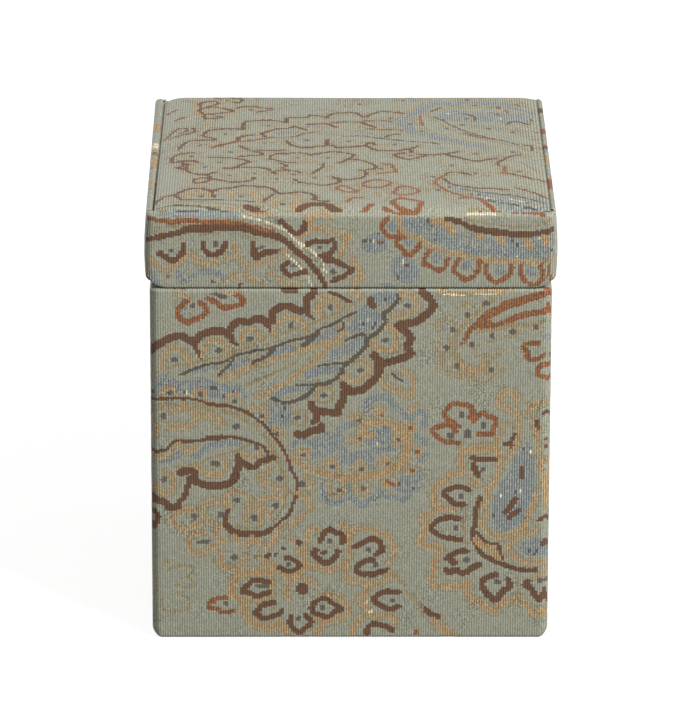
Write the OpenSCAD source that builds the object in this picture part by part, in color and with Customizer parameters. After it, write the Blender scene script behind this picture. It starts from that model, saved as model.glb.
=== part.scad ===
// Keepsake box covered in ribbed paisley brocade, with a padded lid on a cloth hinge.
// Origin: middle of the underside. +Z is up and the front faces -Y.

/* [Base] */
// Width of the box over its cloth, at the rim
box_w = 127; // [110:1:150]
// Depth of the box over its cloth
box_d = 127; // [110:1:150]
// Height of the base from the table to the rim
base_h = 118.5; // [90:0.5:140]
// Radius of the upright corners of the base
corner_r = 2.8; // [2:0.1:4]
// Radius of the lower corners of the base, seen from the front
foot_r = 3.4; // [2.4:0.1:5]
// How far the foot panel stands below the cloth of the walls
foot_rise = 0.4; // [0.2:0.1:1]
// How far the foot panel stops short of the outside of the box
foot_inset = 11; // [6:1:20]

/* [Lid] */
// Height of the lid from its rim to the fold at its front edge
lid_h = 24.9; // [20:0.1:34]
// Rise of the padded top above that fold
crown_h = 1.7; // [1:0.1:2.6]
// Distance from the edge of the padded top to where it levels out
shoulder_run = 7; // [4:0.5:12]
// Radius of the folds along the top front and top back edges
fold_r = 1.5; // [1:0.1:2.4]
// Radius of the upright corners of the lid
lid_corner_r = 2.6; // [1.6:0.1:2.9]
// Radius of the lower corners of the lid, seen from the front
lid_foot_r = 7; // [4:0.5:9]
// How far the ends of the lid swell past the base
end_bulge = 1.65; // [1.2:0.05:2.4]
// Height above the lid's rim where the ends swell most
belly_z = 10.5; // [8:0.5:13]
// How far the swelling falls back from there to the top of the lid
belly_fall = 0.75; // [0.4:0.05:1.1]
// Radius of the lower edge of each end panel
end_foot_r = 2.2; // [1.4:0.1:2.6]
// Radius of the lower corners of each end panel, seen from the side
end_corner_r = 6; // [3:0.5:8]
// How far the end panels stand above the fold
end_rise = 0.65; // [0.3:0.05:1.2]
// Width of the groove between the padded top and each end panel
groove_w = 0.8; // [0.5:0.1:1.6]
// Gap between the lid and the base when the box is shut
seam_gap = 0.3; // [0.2:0.05:0.6]

/* [Board, cloth and lining] */
// Thickness of the greyboard walls
board_t = 2.4; // [2:0.1:3]
// Thickness of the card in each end panel of the lid
end_card_t = 1; // [0.8:0.1:1.4]
// Thickness of the brocade with its paper backing
cloth_t = 0.6; // [0.5:0.05:0.8]
// Radius of the rims where the brocade turns over the board
rim_r = 0.8; // [0.6:0.1:1.1]
// Depth that the brocade is turned in behind each rim
turn_in = 12; // [8:1:16]
// Thickness of a satin-covered lining card
lining_t = 1.2; // [1:0.1:1.8]
// Edge thickness of the padded floor
floor_pad_t = 3; // [2:0.5:5]
// Edge thickness of the padded ceiling of the lid
ceiling_pad_t = 2.5; // [2:0.5:4]
// Rise of either satin pad at its middle
pad_crown = 1.8; // [1:0.1:2.4]
// Distance from the edge of a satin pad to where it levels out
pad_run = 9; // [6:0.5:14]
// Clearance round each satin pad
pad_gap = 0.3; // [0.2:0.05:0.5]

/* [Hinge] */
// Angle that the lid opens to before the hinge lining pulls taut
open_deg = 105; // [95:1:115]
// Thickness of the cloth strip outside the hinge
hinge_t = 0.6; // [0.4:0.05:0.8]
// How far the outer strip reaches down the back of the base
hinge_down = 22; // [12:1:34]
// How far the outer strip reaches up the back of the lid
hinge_up = 12; // [8:1:16]
// How far the outer strip stops short of each side of the box
hinge_inset = 5; // [4:0.5:12]
// Thickness of the satin strip inside the hinge
hinge_lining_t = 0.5; // [0.4:0.05:0.6]
// Depth that the satin strip is tucked behind the back linings
hinge_tuck = 8; // [5:0.5:11]

/* [Hidden] */
$fn = 64;

// Length that reaches well past the box, for cutting solids
reach = 2 * (box_w + box_d + base_h + lid_h);
// Steps up the long arc of each swelling end
belly_steps = 18;

// Heights in the base
cloth_z0 = foot_rise;
board_z0 = cloth_z0 + cloth_t;
floor_z = board_z0 + board_t;

// Distances inwards from the outside of a wall: inside of the board, and of the turned-in cloth
board_in = cloth_t + board_t;
turn_face = board_in + cloth_t;

// Heights in the lid
rim_z = base_h + seam_gap;
fold_z = rim_z + lid_h;
top_board_z = fold_z - cloth_t - board_t;

// Swelling of the lid's ends: a long arc whose highest point is at belly_z
belly_x = box_w / 2 + end_bulge;
belly_r = (pow(lid_h - belly_z, 2) + pow(belly_fall, 2)) / (2 * belly_fall);

// Inner face of the end panels, which is the outside of the lid's tray
tray_x = belly_x - belly_fall - 2 * cloth_t - end_card_t;
pad_x = tray_x - groove_w;
pad_y = box_d / 2 - fold_r;
card_x = tray_x + cloth_t;
end_y = box_d / 2 - board_in;
// The wadding of an end panel stops this far below the fold, where it has thinned away
wadding_stop = 2.5;
end_round_r = (end_card_t + 2 * cloth_t) * 0.45;
tray_in_x = tray_x - board_t;
lid_face_x = tray_in_x - cloth_t;

// Hinge line, in the middle of the outer strip and of the gap at the rim
hinge_y = box_d / 2 + hinge_t / 2;
hinge_z = base_h + seam_gap / 2;
// The satin strip lies against the turned-in cloth, and the back linings over it
strip_y = box_d / 2 - turn_face - hinge_lining_t / 2;
// Radius of the slack fold whose length just reaches across at open_deg
hinge_arm = hinge_y - strip_y;
slack_r = 2 * hinge_arm * sin(open_deg / 2) / (PI - 2 * cos(open_deg / 2));
// The linings stop clear of that fold
fold_clear = 0.3;
lining_drop = slack_r + hinge_lining_t / 2 + fold_clear;
base_lining_top = hinge_z - lining_drop;
lid_lining_z = hinge_z + lining_drop;

// Inside faces of the linings
side_in_x = box_w / 2 - turn_face - lining_t;
front_in_y = box_d / 2 - turn_face - lining_t;
back_in_y = front_in_y - hinge_lining_t;
lid_side_in_x = lid_face_x - lining_t;

// A rectangle that stands on the line y = 0, with its own radius at the lower and upper corners
module standing_profile(w, h, low_r, high_r) {
    translate([-w / 2, low_r]) square([w, h - low_r - high_r]);
    translate([-w / 2 + low_r, 0]) square([w - 2 * low_r, h / 2]);
    translate([-w / 2 + high_r, h / 2]) square([w - 2 * high_r, h / 2]);
    for (side = [-1, 1]) {
        translate([side * (w / 2 - low_r), low_r]) circle(low_r);
        translate([side * (w / 2 - high_r), h - high_r]) circle(high_r);
    }
}

// A rectangle about the origin with round corners
module round_plan(w, d, r) {
    square([w - 2 * r, d], center = true);
    square([w, d - 2 * r], center = true);
    for (x = [-1, 1], y = [-1, 1])
        translate([x * (w / 2 - r), y * (d / 2 - r)]) circle(r);
}

// Solids that carry a front view or a side view right across the box
module from_front(length = reach) {
    rotate([90, 0, 0]) linear_extrude(length, center = true) children();
}

module from_side(length = reach) {
    rotate([90, 0, 90]) linear_extrude(length, center = true) children();
}

// A box given by its lowest and highest corners
module span(low, high) {
    translate(low) cube(high - low);
}

// The outside of the base, moved inwards by a skin's thickness
module base_form(skin) {
    h = base_h - cloth_z0 - 2 * skin;
    low = max(foot_r - skin, 0.2);
    high = max(rim_r - skin, 0.1);
    intersection() {
        translate([0, 0, cloth_z0 + skin])
            from_front() standing_profile(box_w - 2 * skin, h, low, high);
        translate([0, 0, cloth_z0 + skin])
            from_side() standing_profile(box_d - 2 * skin, h, rim_r, high);
        translate([0, 0, cloth_z0])
            linear_extrude(base_h)
            round_plan(box_w - 2 * skin, box_d - 2 * skin, corner_r - skin);
    }
}

// Half width of the lid at a height above its rim, and the points up or down one swelling end
function belly_half(z) = belly_x - belly_r + sqrt(belly_r * belly_r - pow(z - belly_z, 2));
function belly_line(side, skin) = [
    for (i = [0:belly_steps])
        let (k = side > 0 ? i : belly_steps - i, z = (lid_h + 2 * end_rise) * k / belly_steps)
        [side * (belly_half(z) - skin), z]
];

// Front view of the lid: swelling ends, given corner radii and height
module lid_outline(skin, low_r, high_r, h) {
    w = 2 * (belly_x - skin);
    intersection() {
        translate([0, skin]) standing_profile(w, h - 2 * skin, low_r, high_r);
        polygon(concat(belly_line(1, skin), belly_line(-1, skin)));
    }
}

// The outside of the lid below its padded crown, moved inwards by a skin's thickness
module lid_form(skin) {
    h = lid_h - 2 * skin;
    intersection() {
        translate([0, 0, rim_z])
            from_front() lid_outline(skin, lid_foot_r - skin, 0.3, lid_h);
        translate([0, 0, rim_z + skin])
            from_side()
            standing_profile(box_d - 2 * skin, h, max(rim_r - skin, 0.1), max(fold_r - skin, 0.1));
        translate([0, 0, rim_z - 1])
            linear_extrude(lid_h + 2)
            round_plan(2 * (belly_x - skin), box_d - 2 * skin, lid_corner_r - skin);
    }
}

// A flat-bottomed pad whose top is level in the middle and rounds down to its edges.
// rise is the fall from the middle to an edge, over the distance run.
module crowned_pad(w, d, edge, rise, run, skin = 0) {
    r = (run * run + rise * rise) / (2 * rise);
    top = edge + rise;
    intersection() {
        from_front() shoulder_view(w, top - skin, r - skin, run);
        from_side() shoulder_view(d, top - skin, r - skin, run);
    }
}

module shoulder_view(w, top, r, run) {
    low = min(-1, top - 2 * r - 1);
    intersection() {
        translate([-w / 2, 0]) square([w, top]);
        union() {
            translate([-w / 2 + run, low]) square([w - 2 * run, top - low]);
            for (side = [-1, 1])
                translate([side * (w / 2 - run), top - r]) circle(r, $fn = 180);
        }
    }
}

// A lining card seen from its end, standing on y = 0 with round long edges
module lining_view(h) {
    edge_r = lining_t * 0.4;
    standing_profile(lining_t, h, edge_r, edge_r);
}

// Base

module base_wall_y(side) {
    color("tan") intersection() {
        base_form(cloth_t);
        span([-reach, side * (box_d / 2 - board_in / 2) - board_in / 2, 0],
             [reach, side * (box_d / 2 - board_in / 2) + board_in / 2, reach]);
    }
}

module base_wall_x(side) {
    color("tan") intersection() {
        base_form(cloth_t);
        span([side * (box_w / 2 - board_in / 2) - board_in / 2, board_in - box_d / 2, 0],
             [side * (box_w / 2 - board_in / 2) + board_in / 2, box_d / 2 - board_in, reach]);
    }
}

module base_bottom_board() {
    color("tan") intersection() {
        base_form(cloth_t);
        span([board_in - box_w / 2, board_in - box_d / 2, board_z0],
             [box_w / 2 - board_in, box_d / 2 - board_in, floor_z]);
    }
}

// One strip of brocade goes round all four walls, over the rim and under the edge of the bottom
module base_wrap_cloth() {
    color("darkseagreen") {
        difference() {
            base_form(0);
            base_form(cloth_t);
            span([turn_face - box_w / 2, turn_face - box_d / 2, board_z0],
                 [box_w / 2 - turn_face, box_d / 2 - turn_face, reach]);
            span([foot_inset - box_w / 2, foot_inset - box_d / 2, -1],
                 [box_w / 2 - foot_inset, box_d / 2 - foot_inset, floor_z]);
        }
        difference() {
            span([board_in - box_w / 2, board_in - box_d / 2, base_h - turn_in],
                 [box_w / 2 - board_in, box_d / 2 - board_in, base_h - cloth_t]);
            span([turn_face - box_w / 2, turn_face - box_d / 2, 0],
                 [box_w / 2 - turn_face, box_d / 2 - turn_face, reach]);
        }
    }
}

module base_foot_panel() {
    edge = foot_inset + pad_gap;
    color("dimgray")
        linear_extrude(board_z0)
        round_plan(box_w - 2 * edge, box_d - 2 * edge, corner_r);
}

module base_lining_y(face_y) {
    color("goldenrod")
        translate([0, face_y + sign(face_y) * lining_t / 2, floor_z])
        from_side(2 * (side_in_x + lining_t)) lining_view(base_lining_top - floor_z);
}

module base_lining_x(side) {
    middle = (back_in_y - front_in_y) / 2;
    color("goldenrod")
        translate([side * (side_in_x + lining_t / 2), middle, floor_z])
        from_front(back_in_y + front_in_y) lining_view(base_lining_top - floor_z);
}

module base_floor_pad() {
    middle = (back_in_y - front_in_y) / 2;
    color("goldenrod")
        translate([0, middle, floor_z])
        crowned_pad(2 * (side_in_x - pad_gap), back_in_y + front_in_y - 2 * pad_gap,
                    floor_pad_t, pad_crown, pad_run);
}

// Lid

module lid_wall_y(side) {
    color("tan") intersection() {
        lid_form(cloth_t);
        span([-reach, side * (box_d / 2 - board_in / 2) - board_in / 2, 0],
             [reach, side * (box_d / 2 - board_in / 2) + board_in / 2, reach]);
    }
}

module lid_wall_x(side) {
    middle = side * (tray_x - board_t / 2);
    color("tan") intersection() {
        span([middle - board_t / 2, -end_y, rim_z + cloth_t],
             [middle + board_t / 2, end_y, top_board_z]);
        translate([0, 0, rim_z]) end_side(end_y, cloth_t);
    }
}

// Side view of the end of the lid, with round lower corners, carried right across the box
module end_side(half, skin) {
    translate([0, 0, skin])
        from_side() standing_profile(2 * half, 2 * lid_h, end_corner_r - skin, 0.5);
}

module lid_top_board() {
    color("tan") span([-tray_x, -end_y, top_board_z], [tray_x, end_y, top_board_z + board_t]);
}

module lid_top_wadding() {
    color("ivory")
        translate([0, 0, fold_z - cloth_t])
        crowned_pad(2 * pad_x, 2 * end_y, cloth_t / 4, crown_h - cloth_t / 4, shoulder_run);
}

// One strip of brocade runs up the front, over the padded top and down the back
module lid_wrap_cloth() {
    color("darkseagreen") {
        difference() {
            lid_form(0);
            lid_form(cloth_t);
            span([-lid_face_x, turn_face - box_d / 2, 0], [lid_face_x, box_d / 2 - turn_face, fold_z - cloth_t]);
            span([-reach, -end_y, 0], [reach, end_y, reach]);
        }
        lid_crown_cloth();
        for (side = [-1, 1]) lid_turn_in(side);
    }
}

// The part of the lid's strip that lies over the wadding
module lid_crown_cloth() {
    low = fold_z - cloth_t;
    difference() {
        translate([0, 0, low])
            crowned_pad(2 * pad_x, 2 * pad_y, cloth_t, crown_h, shoulder_run);
        translate([0, 0, low])
            crowned_pad(2 * pad_x + 1, 2 * end_y, cloth_t / 4, crown_h - cloth_t / 4, shoulder_run);
    }
}

// The edge of the lid's strip, turned in behind the front or back board
module lid_turn_in(side) {
    middle = side * (end_y - cloth_t / 2);
    span([-lid_face_x, middle - cloth_t / 2, rim_z],
         [lid_face_x, middle + cloth_t / 2, rim_z + turn_in]);
}

// Front view of one end panel: everything outside the lid's tray, up to its round top edge
module end_view(skin) {
    h = lid_h + end_rise;
    intersection() {
        lid_outline(skin, end_foot_r - skin, end_round_r - skin * 0.5, h);
        translate([tray_x + skin, skin]) square([belly_x, h - 2 * skin]);
    }
}

module at_end(side) {
    mirror([side < 0 ? 1 : 0, 0, 0]) translate([0, 0, rim_z]) children();
}

// A front view carried along an end panel, less a skin's thickness all round
module along_end(skin) {
    intersection() {
        from_front(2 * (end_y - skin)) children();
        end_side(end_y - skin, skin);
    }
}

module lid_end_card(side) {
    color("tan") at_end(side) along_end(cloth_t) intersection() {
        end_view(cloth_t);
        translate([card_x, 0]) square([end_card_t, lid_h + end_rise]);
    }
}

module lid_end_wadding(side) {
    color("ivory") at_end(side) along_end(cloth_t) intersection() {
        end_view(cloth_t);
        translate([card_x + end_card_t, 0]) square([belly_x, lid_h - wadding_stop]);
    }
}

// Brocade round an end panel, carried under the rim and up inside the tray
module lid_end_cloth(side) {
    color("darkseagreen") at_end(side) {
        difference() {
            along_end(0) end_view(0);
            along_end(cloth_t) end_view(cloth_t);
        }
        along_end(0) translate([lid_face_x, 0]) square([tray_x + cloth_t - lid_face_x, cloth_t]);
        from_front(2 * end_y) translate([lid_face_x, 0]) square([cloth_t, turn_in]);
    }
}

module lid_lining_y(face_y) {
    color("goldenrod")
        translate([0, face_y + sign(face_y) * lining_t / 2, lid_lining_z])
        from_side(2 * lid_face_x) lining_view(top_board_z - lid_lining_z);
}

module lid_lining_x(side) {
    middle = (back_in_y - front_in_y) / 2;
    color("goldenrod")
        translate([side * (lid_side_in_x + lining_t / 2), middle, lid_lining_z])
        from_front(back_in_y + front_in_y) lining_view(top_board_z - lid_lining_z);
}

module lid_ceiling_pad() {
    middle = (back_in_y - front_in_y) / 2;
    color("goldenrod")
        translate([0, middle, top_board_z])
        mirror([0, 0, 1])
        crowned_pad(2 * (lid_side_in_x - pad_gap), back_in_y + front_in_y - 2 * pad_gap,
                    ceiling_pad_t, pad_crown, pad_run);
}

// Hinge

module hinge_cloth() {
    color("darkseagreen")
        span([hinge_inset - box_w / 2, box_d / 2, base_h - hinge_down],
             [box_w / 2 - hinge_inset, box_d / 2 + hinge_t, rim_z + hinge_up]);
}

// Satin strip: a tuck behind each back lining, and between them a slack fold
module hinge_lining() {
    half = hinge_lining_t / 2;
    color("goldenrod")
        translate([0, strip_y, hinge_z])
        from_side(2 * (side_in_x - pad_gap)) {
            difference() {
                circle(slack_r + half);
                circle(slack_r - half);
                translate([0, -reach / 2]) square([reach, reach]);
            }
            for (side = [-1, 1])
                translate([-half, side * (slack_r + hinge_tuck / 2) - hinge_tuck / 2])
                    square([hinge_lining_t, hinge_tuck]);
        }
}

base_wall_y(-1);  // base_front_board
base_wall_y(1);  // base_back_board
base_wall_x(-1);  // base_left_board
base_wall_x(1);  // base_right_board
base_bottom_board();
base_wrap_cloth();
base_foot_panel();
base_lining_y(-front_in_y);  // base_front_lining
base_lining_y(back_in_y);  // base_back_lining
base_lining_x(-1);  // base_left_lining
base_lining_x(1);  // base_right_lining
base_floor_pad();
lid_wall_y(-1);  // lid_front_board
lid_wall_y(1);  // lid_back_board
lid_wall_x(-1);  // lid_left_board
lid_wall_x(1);  // lid_right_board
lid_top_board();
lid_top_wadding();
lid_wrap_cloth();
lid_end_card(-1);  // lid_left_end_card
lid_end_card(1);  // lid_right_end_card
lid_end_wadding(-1);  // lid_left_end_wadding
lid_end_wadding(1);  // lid_right_end_wadding
lid_end_cloth(-1);  // lid_left_end_cloth
lid_end_cloth(1);  // lid_right_end_cloth
lid_lining_y(-front_in_y);  // lid_front_lining
lid_lining_y(back_in_y);  // lid_back_lining
lid_lining_x(-1);  // lid_left_lining
lid_lining_x(1);  // lid_right_lining
lid_ceiling_pad();
hinge_cloth();
hinge_lining();
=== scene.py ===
import math

import bpy
import numpy as np
from mathutils import Matrix, Vector


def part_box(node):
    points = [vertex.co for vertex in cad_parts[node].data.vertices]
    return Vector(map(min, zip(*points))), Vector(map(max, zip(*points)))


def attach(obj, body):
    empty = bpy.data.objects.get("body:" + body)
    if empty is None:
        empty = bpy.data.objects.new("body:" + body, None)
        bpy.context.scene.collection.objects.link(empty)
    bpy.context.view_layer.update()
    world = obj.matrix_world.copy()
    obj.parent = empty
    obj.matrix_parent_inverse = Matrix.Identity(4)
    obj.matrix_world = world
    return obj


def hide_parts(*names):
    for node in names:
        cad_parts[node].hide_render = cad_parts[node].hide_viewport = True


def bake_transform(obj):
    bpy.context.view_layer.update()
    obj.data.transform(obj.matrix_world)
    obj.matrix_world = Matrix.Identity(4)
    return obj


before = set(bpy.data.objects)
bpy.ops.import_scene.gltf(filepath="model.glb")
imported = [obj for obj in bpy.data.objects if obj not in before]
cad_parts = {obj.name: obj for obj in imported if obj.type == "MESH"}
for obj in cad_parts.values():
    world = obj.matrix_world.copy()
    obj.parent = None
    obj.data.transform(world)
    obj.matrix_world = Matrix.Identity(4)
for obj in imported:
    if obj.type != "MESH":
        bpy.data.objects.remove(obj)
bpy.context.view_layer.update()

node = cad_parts


# ---- View, lamps and table ----
# The box stands square on a white studio table. A long lens looks down on it from straight ahead,
# a broad lamp stands high on the right and a weak one low behind on the left, with soft white light
# from all round.

LENS = 300.1
LENS_AWAY = 1.9439
LOOK_AT = Vector((-0.00143, 0, 0.07466))
LOOK_DOWN, LOOK_ASIDE, LEAN = math.radians(19.09), math.radians(0.35), math.radians(0.12)

ahead = Vector((math.sin(LOOK_ASIDE) * math.cos(LOOK_DOWN),
                math.cos(LOOK_ASIDE) * math.cos(LOOK_DOWN), -math.sin(LOOK_DOWN)))
across = Vector((math.cos(LOOK_ASIDE), -math.sin(LOOK_ASIDE), 0))
upward = across.cross(ahead)
cam_x = across * math.cos(LEAN) + upward * math.sin(LEAN)
cam_y = upward * math.cos(LEAN) - across * math.sin(LEAN)
camera = bpy.data.objects.new("camera", bpy.data.cameras.new("camera"))
camera.data.lens = LENS
camera.data.clip_end = 20
camera.matrix_world = Matrix.Translation(LOOK_AT - ahead * LENS_AWAY) @ Matrix(
    (cam_x, cam_y, -ahead)).transposed().to_4x4()
bpy.context.collection.objects.link(camera)
bpy.context.scene.camera = camera
bpy.context.scene.view_settings.view_transform = "Standard"


def lamp(name, place, watts, size):
    """A square studio lamp that faces the middle of the box."""
    data = bpy.data.lights.new(name, "AREA")
    data.energy, data.size = watts, size
    o = bpy.data.objects.new(name, data)
    o.location = place
    o.rotation_euler = (Vector((0, 0, 0.07)) - Vector(place)).to_track_quat("-Z", "Y").to_euler()
    bpy.context.collection.objects.link(o)


lamp("side_lamp", (1.12, -1.05, 1.46), 51.5, 0.6)
lamp("back_lamp", (-1.15, 1.3, 0.24), 14, 0.4)


def put(tree, kind, **sockets):
    """A shader node with its inputs set or linked. Names of inputs use _ for a space."""
    n = tree.nodes.new(kind)
    for key, value in sockets.items():
        if hasattr(n, key):
            setattr(n, key, value)
            continue
        name = key.replace("_", " ")
        target = n.inputs[int(name[1:])] if name[0] == "i" and name[1:].isdigit() else n.inputs[name]
        if isinstance(value, bpy.types.NodeSocket):
            tree.links.new(value, target)
        else:
            target.default_value = value
    return n


def tint(r, g, b):
    """Linear colour of a swatch given as 0 to 255."""
    return tuple((c / 255 / 12.92 if c <= 10 else ((c / 255 + 0.055) / 1.055) ** 2.4)
                 for c in (r, g, b)) + (1,)


def math_node(tree, how, a, b=0.0):
    return put(tree, "ShaderNodeMath", operation=how, i0=a, i1=b).outputs[0]


world = bpy.data.worlds.new("studio")
bpy.context.scene.world = world
world.use_nodes = True
tree = world.node_tree
tree.nodes.clear()
rays = put(tree, "ShaderNodeLightPath")
level = math_node(tree, "MAXIMUM", rays.outputs["Is Camera Ray"], 0.40)
sky = put(tree, "ShaderNodeBackground", Color=(1, 1, 1, 1), Strength=level)
put(tree, "ShaderNodeOutputWorld", Surface=sky.outputs[0])

table_mesh = bpy.data.meshes.new("table")
table_mesh.from_pydata([(-4, -4, 0), (4, -4, 0), (4, 4, 0), (-4, 4, 0)], [], [(0, 1, 2, 3)])
table = bpy.data.objects.new("table", table_mesh)
bpy.context.collection.objects.link(table)
white = bpy.data.materials.new("white_table")
white.use_nodes = True
tree = white.node_tree
tree.nodes.clear()
rays = put(tree, "ShaderNodeLightPath")
lift = put(tree, "ShaderNodeEmission", Color=(1, 1, 1, 1),
           Strength=math_node(tree, "MULTIPLY", rays.outputs["Is Camera Ray"], 0.86))
matt = put(tree, "ShaderNodeBsdfDiffuse", Color=(0.3, 0.3, 0.3, 1))
both = put(tree, "ShaderNodeAddShader", i0=matt.outputs[0], i1=lift.outputs[0])
put(tree, "ShaderNodeOutputMaterial", Surface=both.outputs[0])
table_mesh.materials.append(white)


# ---- Greyboard shell ----
# Grey bookbinder's board, cut and glued edge to edge: five boards for the base, a shallow tray of
# five for the lid, and a thinner card in each end of the lid. Cloth and lining hide nearly all of it.

dust = bpy.data.node_groups.new("paper_fibre", "ShaderNodeTree")
for name, kind, value in (("Place", "NodeSocketVector", None), ("Grain", "NodeSocketFloat", 900.0),
                          ("Contrast", "NodeSocketFloat", 0.3)):
    s = dust.interface.new_socket(name, in_out="INPUT", socket_type=kind)
    if value is not None:
        s.default_value = value
dust.interface.new_socket("Shade", in_out="OUTPUT", socket_type="NodeSocketFloat")
come = put(dust, "NodeGroupInput")
fine = put(dust, "ShaderNodeTexNoise", Vector=come.outputs["Place"], Scale=come.outputs["Grain"],
           Detail=4.0, Roughness=0.6)
broad = put(dust, "ShaderNodeTexNoise", Vector=come.outputs["Place"], Scale=60.0, Detail=2.0)
joined = math_node(dust, "ADD", fine.outputs[0], broad.outputs[0])
swing = math_node(dust, "MULTIPLY", math_node(dust, "SUBTRACT", joined, 1.0), come.outputs["Contrast"])
put(dust, "NodeGroupOutput", Shade=math_node(dust, "ADD", swing, 1.0))


def finish(name, colour, rough, grain, contrast, dent, sheen=0.0, stretch=(1, 1, 1)):
    """A matt or silky finish whose colour and surface vary with the fibre of its paper or thread."""
    m = bpy.data.materials.new(name)
    m.use_nodes = True
    t = m.node_tree
    t.nodes.clear()
    place = put(t, "ShaderNodeTexCoord").outputs["Object"]
    place = put(t, "ShaderNodeMapping", Vector=place, Scale=stretch).outputs[0]
    fibre = t.nodes.new("ShaderNodeGroup")
    fibre.node_tree = dust
    t.links.new(place, fibre.inputs["Place"])
    fibre.inputs["Grain"].default_value = grain
    fibre.inputs["Contrast"].default_value = contrast
    shade = put(t, "ShaderNodeHueSaturation", Value=fibre.outputs[0], Color=tint(*colour))
    bump = put(t, "ShaderNodeBump", Height=fibre.outputs[0], Strength=1.0, Distance=dent)
    skin = put(t, "ShaderNodeBsdfPrincipled", Base_Color=shade.outputs[0], Roughness=rough,
               Normal=bump.outputs[0], Sheen_Weight=sheen)
    put(t, "ShaderNodeOutputMaterial", Surface=skin.outputs[0])
    return m


def dress(material, *names):
    """Gives CAD pieces, whose shape is right as it is, their finish."""
    for name in names:
        for s in node[name].material_slots:
            s.material = material


greyboard = finish("greyboard", (150, 146, 136), 0.9, 900.0, 0.35, 0.00006)
dress(greyboard, "base_front_board", "base_back_board", "base_left_board", "base_right_board",
      "base_bottom_board", "lid_front_board", "lid_back_board", "lid_left_board",
      "lid_right_board", "lid_top_board", "lid_left_end_card", "lid_right_end_card")


# ---- Foot panel ----
# A card covered with dark textured paper, glued under the base over the turned-in edges of the
# brocade. The box stands on it.

foot_paper = finish("foot_paper", (74, 66, 56), 0.8, 1400.0, 0.6, 0.0001)
dress(foot_paper, "base_foot_panel")


# ---- Brocade round the base ----
# One strip of paper-backed ribbed jacquard round the four walls, glued down. It turns over the rim
# and 12 mm down inside, and under the bottom as far as the foot panel. The figure is a paisley in
# brown, rust, gold and slate blue floats on a sage ground.

MM = 0.001
WIDE, DEEP, TALL = 127.0, 127.0, 118.5
CORNER_R, FOOT_R, RIM_R = 2.8, 3.4, 0.8
CLOTH_Z0, TURN_FACE, TURN_IN, FOOT_INSET = 0.4, 3.6, 12.0, 11.0
RIB = 0.78
RIB_DEEP, FLOAT_HIGH = 0.12, 0.06
YARNS = "ground gold rust brown blue plum tan cream umber".split()
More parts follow.
